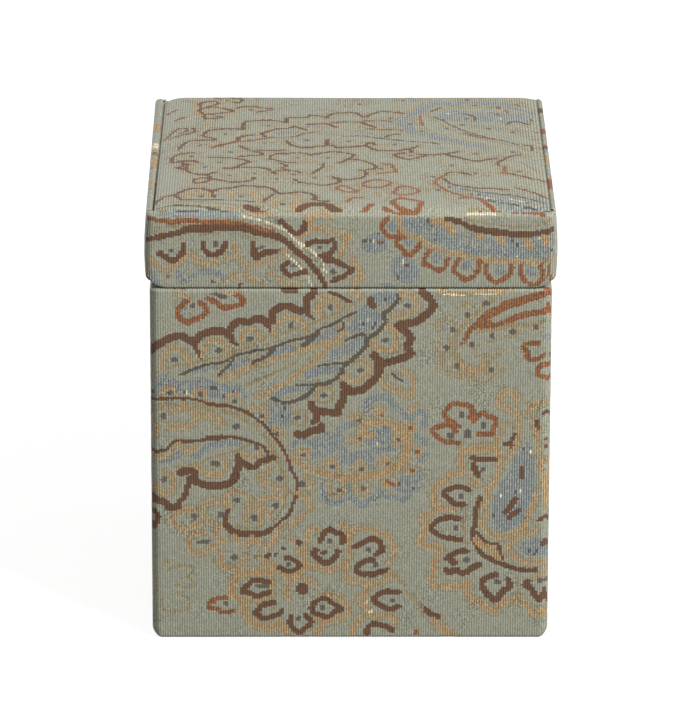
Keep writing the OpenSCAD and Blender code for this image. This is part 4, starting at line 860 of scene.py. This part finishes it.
LID_TOP_DRAWING = """
tan 2: -55,55 -50,53
tan 1.4: -30.5,58.5 -30.5,50.5; -28,-29.5 -27,-35.5 -21.5,-35.5; 53.5,55.5 56,55.5 58.5,52; 36.5,58.5 36.5,56; 44,58.5 44,56; -12,44.5 -8.5,44.5 -5.5,44 -3.5,41.5
tan dot 1.2: 15.5,48
tan dot 0.8: 21.5,48
blue haze: 30,42 36,45 42,42.5 52,43 58,40 60,33 55,30 46,32 42,30 38,31 33,33 29,37; 30,-37.5 35.5,-41.5 40.5,-44.5 48.5,-47.5 58,-50 61,-53 61,-62 48.5,-62 44.5,-56.5 40.5,-51.5 35.5,-47.5 31.5,-42.5
blue fill: -25,19 -22,21 -18.5,21 -16.5,19.5 -19,17.5 -23,17
blue 1.8 by tan: -13.5,26 -9,24.5; -8,18 -4,17.5; 10,27.5 15,26; 3,18 12,17
brown 1.3 by gold: -49,48 -49.5,51.5 -48,53.5 -46,54 -44,54 -43.5,51.5 -44.5,50.5 -46.5,48; -49.5,44 -48.5,46.5 -46,47.5 -43.5,47.5 -40.5,45.5 -38.5,44 -39,42.5 -41.5,41.5 -43.5,40.5 -47.5,39.5 -49,41.5 -49.5,44; -47.5,39.5 -47.5,35.5 -45.5,34.5 -41.5,36.5 -44,37.5
brown 1.2 by tan: -44,57.5 -40,58 -36,57.5 -35.5,55.5 -36.5,53 -38.5,53.5; -37.5,46.5 -36,48 -32.5,48.5 -29.5,47.5 -25,45.5 -28,43.5 -30.5,42; -60,14 -58.5,18 -56.5,22.5 -54.5,24 -53,21.5 -55.5,17.5; -51.5,24 -50.5,20.5 -52.5,17.5 -58.5,14
tan 1: -36,49 -32.5,50 -26.5,48.5 -21.5,46
brown 1.4 by gold: -60,43 -57.5,45; -57,33.5 -54.5,36; -50,-35.5 -49.5,-32.5 -46.5,-31 -45,-33 -46.5,-35.5 -49,-36.5 -50,-35.5
gold 1 by tan: -48.5,24.5 -46,26.5
brown 1.4 by tan: -34.5,24 -35,26.5 -34,31.5 -32,32.5 -27.5,33 -23.5,32.5 -20.5,30.5 -20.5,35 -17.5,36 -14,36 -13,38 -11.5,38.5 -8.5,36.5 -7.5,35.5; -7.5,36 -6,39 -4,40.5 1.5,41 3.5,38.5 4.5,36; 6,36 6.5,38.5 8.5,40.5 10.5,42.5 14.5,42 17.5,40.5; -34.5,23.5 -40.5,23.5 -44,22.5 -46.5,20.5 -47.5,18 -47.5,14.5 -44.5,12.5 -44,10.5; -44.5,10.5 -48,10.5 -51.5,9.5 -53.5,7 -54.5,4 -55.5,0.5; -50,-3.5 -54,-4.5 -56.5,-6.5 -57.5,-10 -56.5,-13.5 -54,-12.5 -50,-13 -49,-14.5; -54,-13.5 -53.5,-17.5 -55.5,-19.5 -53.5,-21.5; -52,-16.5 -52.5,-20 -52,-24 -50,-26.5 -46.5,-27.5 -43.5,-25.5; -45.5,-28.5 -44,-32 -41.5,-33.5 -38.5,-35.5 -35.5,-35.5 -32,-34 -30.5,-31; -40.5,-21.5 -37.5,-20.5 -34,-20 -29.5,-20 -26.5,-21.5 -25.5,-24.5 -24.5,-26.5; -45.5,-8.5 -40.5,-9 -36,-10.5 -32.5,-13.5 -34.5,-16.5 -37.5,-20 -40.5,-21; -33.5,0 -30.5,-2.5 -28.5,-4.5 -29,-6.5 -32.5,-7 -35.5,-8
tan 1.2: -41,-26.5 -40.5,-30 -37.5,-32.5 -34,-31.5 -33.5,-26.5 -34.5,-24
brown 1.5 by gold: -44.5,2 -41.5,5.5 -38.5,7.5 -36.5,10.5 -36.5,12.5 -34.5,15.5 -31.5,16.5; -27.5,14.5 -28.5,18 -26.5,20.5 -23.5,23.5 -20,24 -18,26 -16,23.5 -14,22; -14,28 -11.5,28.5 -7.5,28.5 -5.5,26 -4,24.5; 4,29.5 6.5,26.5 8.5,24.5
brown 1.1 by tan: -42,4 -37.5,8 -34,9.5 -29.5,11.5 -24,14 -18,14.5 -14.5,18 -10.5,19.5; -6,29.5 -2,30.5 2,30.5 4.5,30; 4.5,31.5 10,32 14,30.5; 6.5,22.5 17,21; 11.5,13.5 13.5,16 16.5,17
brown 1.5 by tan: -35.5,3.5 -33.5,0.5; -20.5,9.5 -20,7.5 -18.5,4.5 -16,2.5 -13.5,2 -10,3.5 -7.5,4.5; -7.5,10.5 -7.5,6; -7.5,5 -5.5,4 -4,2 -2,2.5 1.5,3 4.5,4 6,6.5 7,7.5 8,5.5; 5.5,3.5 7.5,0.5 9.5,-1 14,-1.5 18,0 20,1.5 22,3.5; 19.5,-0.5 20.5,-4 23.5,-5.5 28,-5.5 32,-4 35,-2.5; 31.5,-4.5 32,-6.5 35.5,-9.5 38.5,-12 42,-12.5 45.5,-10.5 47.5,-10; -30,-0.5 -26.5,-1.5 -21.5,-0.5
umber 1: -2,14.5 4,14.5 8.5,12.5 14.5,10.5 21.5,8.5 26.5,7.5 29,6; -60,-59.5 -54,-59 -47.5,-59.5 -40.5,-61.5 -35.5,-63; -54,-54 -44,-54 -36,-54.5 -30.5,-56
plum eye 0.9: -40.5,17.5 -26.5,27 -48.5,4.5 -27.5,7.5 -14,10.5 -0.5,8.5 14.5,5 13.5,34.5 3.5,51.5 18,55.5 23.5,42.5 20.5,35.5 20,28.5 23.5,20.5 39.5,56 41.5,49.5 49,39.5 37,27.5 32,23.5 45.5,24 53.5,19.5 56,50.5 36.5,6.5 31,33.5 38.5,34.5 60,22 40.5,-5 32.5,-18 10,-20.5 19.5,-6.5 52.5,-2.5 54,-24.5 26.5,-29.5 40,-26.5 27.5,-44 34.5,-52.5 40.5,-62.5 -16.5,-9.5 -7,-9 -47.5,-50.5 -34.5,-50.5 -21.5,-58 -11.5,-31 -18,-27.5 -24,-26.5 -51,-8 -46.5,-19.5 -38.5,-28.5 -30.5,-26.5 -23.5,-32 -32.5,44.5 -40.5,55.5 -42,-14.5 -38.5,-2.5
blue 2.5>4>3 by tan: 20,36 20.5,40 23.5,42 24.5,46 26,48.5 28.5,51.5 32.5,51.5 35.5,50; 36.5,51.5 37.5,53.5 41.5,54 44.5,53.5 46.5,51.5 48.5,52.5 51.5,51.5 52.5,48.5 55.5,46.5 58.5,44.5 60.5,42; 17.5,36 16,32.5 18,29.5 17.5,26.5 20,25.5 19.5,21.5 22,17.5 26,16.5 27.5,14 30,11.5 34,9.5 38,5.5 41.5,4 44.5,0.5
tan 1.2: 24.5,37.5 26.5,42 30,44.5 34,46.5 38,46.5 43.5,47.5 47.5,47 49.5,48.5; 25.5,39.5 26.5,35.5 29.5,30.5 31.5,25.5 35.5,20 39.5,15.5 44.5,10.5 48.5,8 52.5,4.5 54.5,2; 24.5,24.5 26.5,20.5 30,16.5 34,12.5 38,9.5 43.5,5.5 48,1.5; 56,27.5 59.5,26.5
umber 0.9: 27,42.5 30.5,47.5; 27.5,37 31,32 33.5,27 37.5,21.5 41.5,17 46.5,12 50.5,9.5 54.5,5.5
rust 1.1: 23.5,38.5 23.5,34 24,26.5; 49.5,48.5 49.5,46.5; 51.5,44.5 52.5,41.5
brown 1.2 by tan: 38,40.5 40.5,38 41.5,35.5 41.5,32.5; 51.5,28.5 54,31.5 58,30; 37.5,18.5 42,14.5 47.5,11.5; 56.5,5.5 58.5,5.5 58.5,0.5
blue 1.3 by tan: 40.5,26.5 44.5,26 48.5,26 50,22.5; 54.5,22.5 56.5,18.5 59.5,14; -2,55.5 1.5,56 5.5,55.5 8.5,53.5; 14.5,56 15.5,58 18,59 21.5,58 22.5,55.5; -1.5,53 -1.5,50
brown 1.3 by tan: -26,-10.5 -25.5,-7.5 -24,-5 -20.5,-4.5 -17.5,-3.5 -14,-4.5 -12.5,-6.5; -12,-5.5 -8.5,-3.5 -5.5,-2.5 -1.5,-3.5 1,-5.5 0,-9.5 -2,-12.5 -3.5,-14.5; 0.5,-10.5 3.5,-11.5 6,-14 8,-17.5 8,-20 6,-21.5 3.5,-22.5; 4.5,-23 5,-26 4,-29.5 1.5,-31.5 -2.5,-32 -4.5,-30.5 -6,-28.5; -18,-32.5 -16,-35.5 -12,-37.5 -8.5,-38.5 -4.5,-36.5 -3.5,-33.5 -5.5,-30; -26.5,-10.5 -24,-12 -22,-13.5 -17.5,-14.5; -22.5,-15.5 -20.5,-18 -22,-20.5 -20,-23 -17.5,-23.5 -16,-25.5; -24.5,-26.5 -24,-24 -21.5,-23; -8.5,-16 -9,-19.5 -11,-23.5 -12,-26
tan 3: -15.5,-13 -9.5,-14
tan 1.1: -5.5,-15.5 -5.5,-20 -7.5,-24; 29.5,-10.5 29,-15.5; 36.5,-12 37.5,-17.5; 31.5,-21.5 39.5,-21.5; 40.5,-22 44.5,-24.5 44,-28.5 41.5,-30; 24.5,-25.5 22.5,-30 24,-35.5; 24,-40.5 24,-46; 29.5,-46.5 30,-52.5 32.5,-56 36,-57.5; 38,-59.5 38,-63; 50,-44 53.5,-46; 11.5,-41.5 15.5,-50.5; 9.5,-42.5 11.5,-45.5 12.5,-49.5 10.5,-55.5
rust 1.6 by tan: 10.5,-15 13.5,-16.5 14,-20 14.5,-24 12,-24.5 9,-25.5; 49.5,-19.5 49.5,-22.5 49,-26; 30.5,-28 28,-31.5 27,-35.5 28,-39.5 29.5,-42.5 31.5,-46 34,-48.5 36.5,-51; 4,-39.5 4,-36.5 6,-33.5 8.5,-32.5 12,-34 12.5,-36.5 11,-39.5 7.5,-40.5 4,-39.5; 14.5,-44 14.5,-41.5 17,-39.5 20,-41.5 21.5,-44.5 19.5,-47.5 16,-48.5 13.5,-46.5 14.5,-44; -4.5,-42.5 -4,-40 -1.5,-39.5 0.5,-42.5 2.5,-44.5 -1,-45.5 -4.5,-42.5; 3.5,-51.5 0.5,-52 -1,-55.5
rust 2: 36.5,-51.5 40,-52.5 42,-56 44,-60 46.5,-63; 15.5,-52 19.5,-54 22,-56 21.5,-59.5 20,-62 15.5,-60.5 13,-56.5 15.5,-52; 6.5,-58.5 4,-61.5 3.5,-63; 10.5,-60.5 13.5,-63
brown 1.3 by tan: 18,-3.5 14.5,-5.5 15.5,-8 18.5,-10.5 22.5,-8.5 24.5,-6.5; 55.5,-5.5 51.5,-8 49.5,-11.5 47.5,-14.5 47.5,-17.5; 50,-26.5 54,-28.5 57.5,-31 60.5,-31.5; 38,-27.5 35.5,-25.5 32,-25 30.5,-26.5; 30,-32.5 32,-37.5 35.5,-40 39.5,-41.5 44.5,-42.5 49.5,-43.5; 52.5,-41.5 54.5,-43.5 58,-46 60.5,-49.5
tan 1.5: 54.5,-13.5 60,-22.5
tan dot 1.4: 38,-46 46,-50 52.5,-54.5 58,-58
umber 0.8: 35,-42.5 41,-46 48,-48.5 55,-51.5; 43,-55 50,-58 58,-61; 54,-52 60,-55
cream 0.7: 41,-51 46,-53.5; 50,-53 55,-56.5
tan 2.5: 8.5,-45.5 8.5,-49.5
brown 1.6 by tan: -61,-53.5 -60,-50.5 -58,-48.5 -55.5,-48.5 -54,-46 -52,-43.5 -49.5,-42 -45.5,-43.5 -44,-45.5 -41.5,-42.5 -37.5,-41.5 -34,-39.5 -28.5,-40.5 -25.5,-42 -24,-44.5 -22.5,-47.5 -18.5,-46.5 -15.5,-46 -12.5,-48 -11,-51.5 -11.5,-54 -7.5,-55.5
brown 1.2 by tan: -44,-45.5 -43,-51.5; -24.5,-48 -27.5,-55.5; -55.5,-49.5 -53.5,-54
brown 3 by tan: -18,-63 -15.5,-60 -12,-58 -8,-58.5 -4,-62
gold 1.3 by tan: -52,-52.5 -52,-48 -49.5,-45.5 -46,-46 -44.5,-49.5; -38.5,-50.5 -38.5,-46.5 -35.5,-45.5 -31.5,-44.5 -30.5,-49.5 -28.5,-54; -24,-58 -23.5,-54 -20,-51.5 -16.5,-51 -16,-54.5 -17.5,-58.5 -18,-62
tan 1.2: -56,-55.5 -47.5,-55.5 -40.5,-57.5 -32,-59.5
brown 2.5 by tan: -33,-59.5 -27,-63
blue 2.2 by tan: -57,-61.5 -38,-62.5
umber 0.9: -57,-62.6 -51,-61.4 -45,-62.8 -39,-61.6
"""
lid_front_figure = weave_drawing(LID_FRONT_DRAWING, (-66, 118), (66, 146), 21)
lid_top_figure = weave_drawing(LID_TOP_DRAWING, (-64.2, -64), (64.2, 64), 31, (0.6, 1.2))


def belly_half(z):
    """Half the width of the lid at a height above its rim."""
    return BELLY_X - BELLY_R + np.sqrt(BELLY_R ** 2 - (z - BELLY_Z) ** 2)


def lid_strip():
    """Points of the strip, row by row from inside the front to inside the back, and its yarns."""
    inner = np.arange(-PAD_X, PAD_X + 0.01, PAD_X / round(PAD_X / (RIB / 2)))
    flat_half = BELLY_X - LID_CORNER_R
    bend = LID_CORNER_R * math.pi / 2
    wing = np.concatenate([[PAD_X + 0.35, PAD_X + 0.7], flat_half + np.linspace(0, bend, 11),
                           [flat_half + bend + 0.4]])
    s = np.concatenate([-wing[::-1], inner, wing])
    far = np.abs(s)
    turn = np.clip((far - flat_half) / LID_CORNER_R, 0, math.pi / 2)
    plan_x = np.minimum(far, flat_half) + LID_CORNER_R * np.sin(turn)
    plan_in = LID_CORNER_R * (1 - np.cos(turn)) + np.maximum(0, far - flat_half - bend)
    lift = LID_FOOT_R - np.sqrt(np.maximum(0, LID_FOOT_R ** 2 - np.maximum(
        0, np.minimum(plan_x, BELLY_X) - (BELLY_X - LID_FOOT_R)) ** 2))
    lift = np.minimum(lift, 6.4)
    fold_tops = [np.where(far <= PAD_X + 0.01, crown_z(s, np.full_like(s, y)), FOLD_Z)
                 for y in (-PAD_Y, PAD_Y)]
    rows, heights, kinds = [], [], []

    def add(x, y, z, shown, along):
        rows.append(np.stack([x, y, z], axis=1))
        heights.append(along)
        kinds.append(shown)

    def side(front):
        """Rows from inside the tray to the fold."""
        out = -1 if front else 1
        fold_top = fold_tops[0 if front else 1]
        x0 = np.sign(s) * np.minimum(plan_x, 59.2)
        part = []
        for up in (12, 8, 4, 2):
            part.append((x0, out * (END_Y - 0.6) + 0 * s, RIM_Z + up + lift * 0.6, "all", -up - 3))
        for i, up in quarter(0.7, 4)[::-1][1:]:
            part.append((x0 + (np.sign(s) * plan_x - x0) * 0.3, out * (END_Y - 0.6 + (0.7 - 0.7 * up / 0.7)),
                         RIM_Z + lift + 0 * s + 0.7 * (i / 0.7) * 0.2, "all", -3 + 0.5))
        for i, up in quarter(RIM_R, 5)[::-1]:
            y = DEEP / 2 - i - plan_in
            part.append((np.sign(s) * plan_x, out * y, RIM_Z + RIM_R - up + lift, "all", up))
        low = RIM_Z + RIM_R + lift
        top = fold_top - FOLD_R
        steps = 42
        for k in range(1, steps + 1):
            z = low + (top - low) * k / steps
            x = plan_x - (BELLY_X - belly_half(z - RIM_Z)) * np.clip((far - 56) / 6, 0, 1)
            part.append((np.sign(s) * x, out * (DEEP / 2 - plan_in), z, "all", 1 + 22.5 * k / steps))
        for i, up in quarter(FOLD_R, 6)[1:]:
            z = top + up
            x = plan_x - (BELLY_X - belly_half(z - RIM_Z)) * np.clip((far - 56) / 6, 0, 1)
            shrink = np.minimum(plan_in, 2.6)
            y = np.maximum(DEEP / 2 - i - shrink, END_Y - 0.02)
            if up > FOLD_R - 0.01:
                y = np.where(far > PAD_X + 0.01, END_Y - 0.4, y)
            part.append((np.sign(s) * x, out * y, z, "all", 23.5 + i + up))
        return part

    for x, y, z, shown, along in side(True):
        add(x, np.broadcast_to(y, s.shape), np.broadcast_to(z, s.shape), shown, along)
    for y in np.arange(-PAD_Y + 0.62, PAD_Y, 0.62):
        x = np.clip(s, -PAD_X, PAD_X)
        z = crown_z(x, np.full_like(x, y)) + crown_wave(x, np.full_like(x, y))
        drop = np.clip((far - PAD_X) / 0.35, 0, 2)
        z = z - np.where(drop > 0, np.where(s < 0, 1.2 * drop - 0.5, 0.3 * drop), 0)
        pull = np.where(s < 0, edge_out(-1, y), edge_out(1, y)) * np.clip((far - 54) / 7.4, 0, 1) ** 2
        x = x + np.sign(s) * (pull + np.where(s < 0, 0.12, 0.05) * drop)
        add(x, np.full_like(x, y), z, "top", 26 + y + PAD_Y)
    for x, y, z, shown, along in side(False)[::-1]:
        add(x, np.broadcast_to(y, s.shape), np.broadcast_to(z, s.shape), shown, 177 - along)
    return s, far, np.array(rows), np.array(heights), kinds


strip_s, strip_far, strip_points, strip_along, strip_kinds = lid_strip()
face_x = (strip_s[1:] + strip_s[:-1]) / 2
centre = (strip_points[:-1, :-1] + strip_points[1:, 1:]) / 2
on_front = centre[:, :, 1] < -PAD_Y - 0.2
on_back = centre[:, :, 1] > PAD_Y + 0.2
seen_x = np.broadcast_to(face_x, centre.shape[:2])
strip_yarn = np.where(on_front, lid_front_figure(seen_x, centre[:, :, 2]),
                      np.where(on_back, lid_front_figure(-seen_x, centre[:, :, 2]),
                               lid_top_figure(seen_x, centre[:, :, 1])))
top_rows = np.array([a == "top" or b == "top" for a, b in zip(strip_kinds, strip_kinds[1:])])
wing_cols = np.abs(face_x) > PAD_X + 0.8
strip_keep = ~(top_rows[:, None] & wing_cols[None, :])
lid_cloth = woven_sheet("lid_strip_cloth", strip_points, strip_along[:, None], strip_yarn, strip_keep)
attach(lid_cloth, "lid")
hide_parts("lid_wrap_cloth")


# ---- Brocade ends of the lid ----
# A padded panel on each end of the lid in its own piece of cloth, which stands a little proud of
# the top, swells past the base, and goes under the rim and up inside the tray.

TRAY_X, END_TOP, END_CORNER_R, END_FOOT_R, EDGE_R = 62.2, 144.35, 6.0, 2.2, 0.99
# Where the figure crosses the top edge of each end: yarn, from, to
EDGE_PATCHES = {-1: [(1, 24, 33), (7, 5, 11), (1, -15, -5), (2, -2, 1), (1, -34, -30)],
                1: [(2, 20, 26), (3, 4, 8), (1, -12, -4), (2, -40, -28), (3, 44, 50)]}


def end_cloth(name, side, where):
    ys = np.linspace(-END_Y, END_Y, 2 * round(2 * END_Y / RIB) + 1)
    lift = END_CORNER_R - np.sqrt(np.maximum(0, END_CORNER_R ** 2 - np.maximum(
        0, np.abs(ys) - (END_Y - END_CORNER_R)) ** 2))
    tuck = 0.45 * np.clip(1 - (END_Y - np.abs(ys)) / 1.2, 0, 1) ** 2
    face = TRAY_X + (edge_out(-1, -ys) - 0.28 if side < 0 else 0 * ys)
    profile = [(TRAY_X + 0.02, z) for z in (140.5, 141.6, 142.4)]
    outer = float(belly_half(END_TOP - EDGE_R - RIM_Z))
    if side < 0:
        profile += [(TRAY_X + i, END_TOP - EDGE_R + up) for i, up in quarter(EDGE_R, 6)]
        profile += [(outer - i, END_TOP - EDGE_R + up) for i, up in quarter(EDGE_R, 6)[::-1]]
    else:
        profile += [(TRAY_X + 0.1, 143.7), (62.6, 143.84), (63.06, 143.84), (63.14, 143.92),
                    (63.24, 144.16), (63.44, 144.28), (63.72, 144.3), (64.02, 144.22), (64.37, 143.78)]
    for z in np.arange(END_TOP - EDGE_R - 0.6, RIM_Z + END_FOOT_R, -0.6):
        profile.append((float(belly_half(z - RIM_Z)), z))
    foot = float(belly_half(END_FOOT_R))
    for i, up in quarter(END_FOOT_R, 7):
        profile.append((foot - i, RIM_Z + END_FOOT_R - up))
    profile += [(x, RIM_Z) for x in (61.5, 60.3)]
    profile += [(59.2, RIM_Z + up) for up in (0.4, 2, 5, 9, 12)]
    rows, along, run, last = [], [], 0, profile[0]
    for x, z in profile:
        share = np.clip((END_TOP - 3 - z) / (END_TOP - 3 - RIM_Z), 0, 1)
        inside_tray = x < 59.5
        zz = z + (lift * share ** 2 if not inside_tray else 0 * lift)
        crest = np.clip((z - 141) / 2, 0, 1)
        thinner = 1 + crest * ((outer - face) / (outer - TRAY_X) - 1)
        xx = np.where(x < outer, outer - (outer - x) * thinner, x) - (tuck if x > 63 else 0)
        back = np.clip((side * ys - 50) / 10, 0, 1) ** 2
        if side < 0:
            zz = zz - crest * 0.45 * (1 - back)
        rows.append(np.stack([side * xx, side * ys, zz], axis=1))
        run += math.hypot(x - last[0], z - last[1])
        along.append(run)
        last = (x, z)
    points = np.array(rows)
    centre = (points[:-1, :-1] + points[1:, 1:]) / 2
    yarn = base_figure(side * centre[:, :, 1] * -1, centre[:, :, 2] - 76.0)
    on_edge = centre[:, :, 2] > END_TOP - 1.6
    yarn[on_edge] = 0
    for code, low, high in EDGE_PATCHES[side]:
        yarn[on_edge & (centre[:, :, 1] > low) & (centre[:, :, 1] < high)] = code
    o = woven_sheet(name, points, -np.array(along)[:, None], yarn)
    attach(o, "lid")
    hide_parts(where)


end_cloth("lid_left_end_brocade", -1, "lid_left_end_cloth")
end_cloth("lid_right_end_brocade", 1, "lid_right_end_cloth")


# ---- Cloth hinge ----
# Outside, a strip of brocade glued across the seam at the back. Inside, a satin strip whose ends
# are tucked behind the back linings, built with the lid shut: its slack fold would pull straight with the lid
# fully open.

HINGE_Y, HINGE_Z, HINGE_HALF = 63.8, 118.65, 58.5


def hinge_brocade():
    low, high = (np.array(c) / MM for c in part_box("hinge_cloth"))
    cols = 2 * round((high[0] - low[0]) / RIB) + 1
    xs = np.linspace(high[0], low[0], cols)
    out, back = high[1], low[1] + 0.02
    path = [(back, high[2] - 0.02), (back + 0.3, high[2]), (out - 0.15, high[2] - 0.02), (out, high[2] - 0.2)]
    path += [(out, z) for z in np.arange(high[2] - 0.7, low[2] + 0.3, -0.5)]
    path += [(out, low[2] + 0.2), (out - 0.15, low[2] + 0.02), (back + 0.3, low[2]), (back, low[2] + 0.02)]
    along, run, last = [], 0, path[0]
    for p in path:
        run += math.hypot(p[0] - last[0], p[1] - last[1])
        along.append(run)
        last = p
    rows = []
    side_in = np.clip(1 - np.minimum(high[0] - xs, xs - low[0]) / 0.3, 0, 1)
    for y, z in path:
        rows.append(np.stack([xs, np.maximum(y - 0.5 * side_in, back) + 0 * xs, np.full(cols, z)], axis=1))
    points = np.array(rows)
    centre = (points[:-1, :-1] + points[1:, 1:]) / 2
    yarn = base_figure(centre[:, :, 0], centre[:, :, 2] - 60.0)
    o = woven_sheet("hinge_outer_strip", points, -np.array(along)[:, None], yarn)
    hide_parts("hinge_cloth")
    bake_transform(o)


hinge_brocade()


def hinge_satin():
    low, high = (np.array(c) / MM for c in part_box("hinge_lining"))
    strip_y, slack_r, thick = 59.65, 3.42, 0.5
    line = [(strip_y, z) for z in np.linspace(low[2], HINGE_Z - slack_r, 6)]
    line += [(strip_y - slack_r * math.cos(a), HINGE_Z + slack_r * math.sin(a))
             for a in np.linspace(-math.pi / 2, math.pi / 2, 15)[1:-1]]
    line += [(strip_y, z) for z in np.linspace(HINGE_Z + slack_r, high[2], 6)]
    line = np.array(line)
    slope = np.gradient(line, axis=0)
    slope /= np.linalg.norm(slope, axis=1, keepdims=True)
    side = np.stack([-slope[:, 1], slope[:, 0]], axis=1) * thick / 2
    loop = np.vstack([line + side, (line - side)[::-1]])
    xs = np.linspace(low[0], high[0], 30)
    verts = [(x * MM, y * MM, z * MM) for x in xs for y, z in loop]
    n = len(loop)
    faces = [(i * n + k, i * n + (k + 1) % n, (i + 1) * n + (k + 1) % n, (i + 1) * n + k)
             for i in range(len(xs) - 1) for k in range(n)]
    faces += [tuple(range(n))[::-1], tuple(range((len(xs) - 1) * n, len(xs) * n))]
    mesh = bpy.data.meshes.new("hinge_inner_strip")
    mesh.from_pydata(verts, [], faces)
    mesh.polygons.foreach_set("use_smooth", [len(f) == 4 for f in faces])
    mesh.materials.append(satin)
    o = bpy.data.objects.new("hinge_inner_strip", mesh)
    bpy.context.collection.objects.link(o)
    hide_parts("hinge_lining")
    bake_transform(o)


hinge_satin()
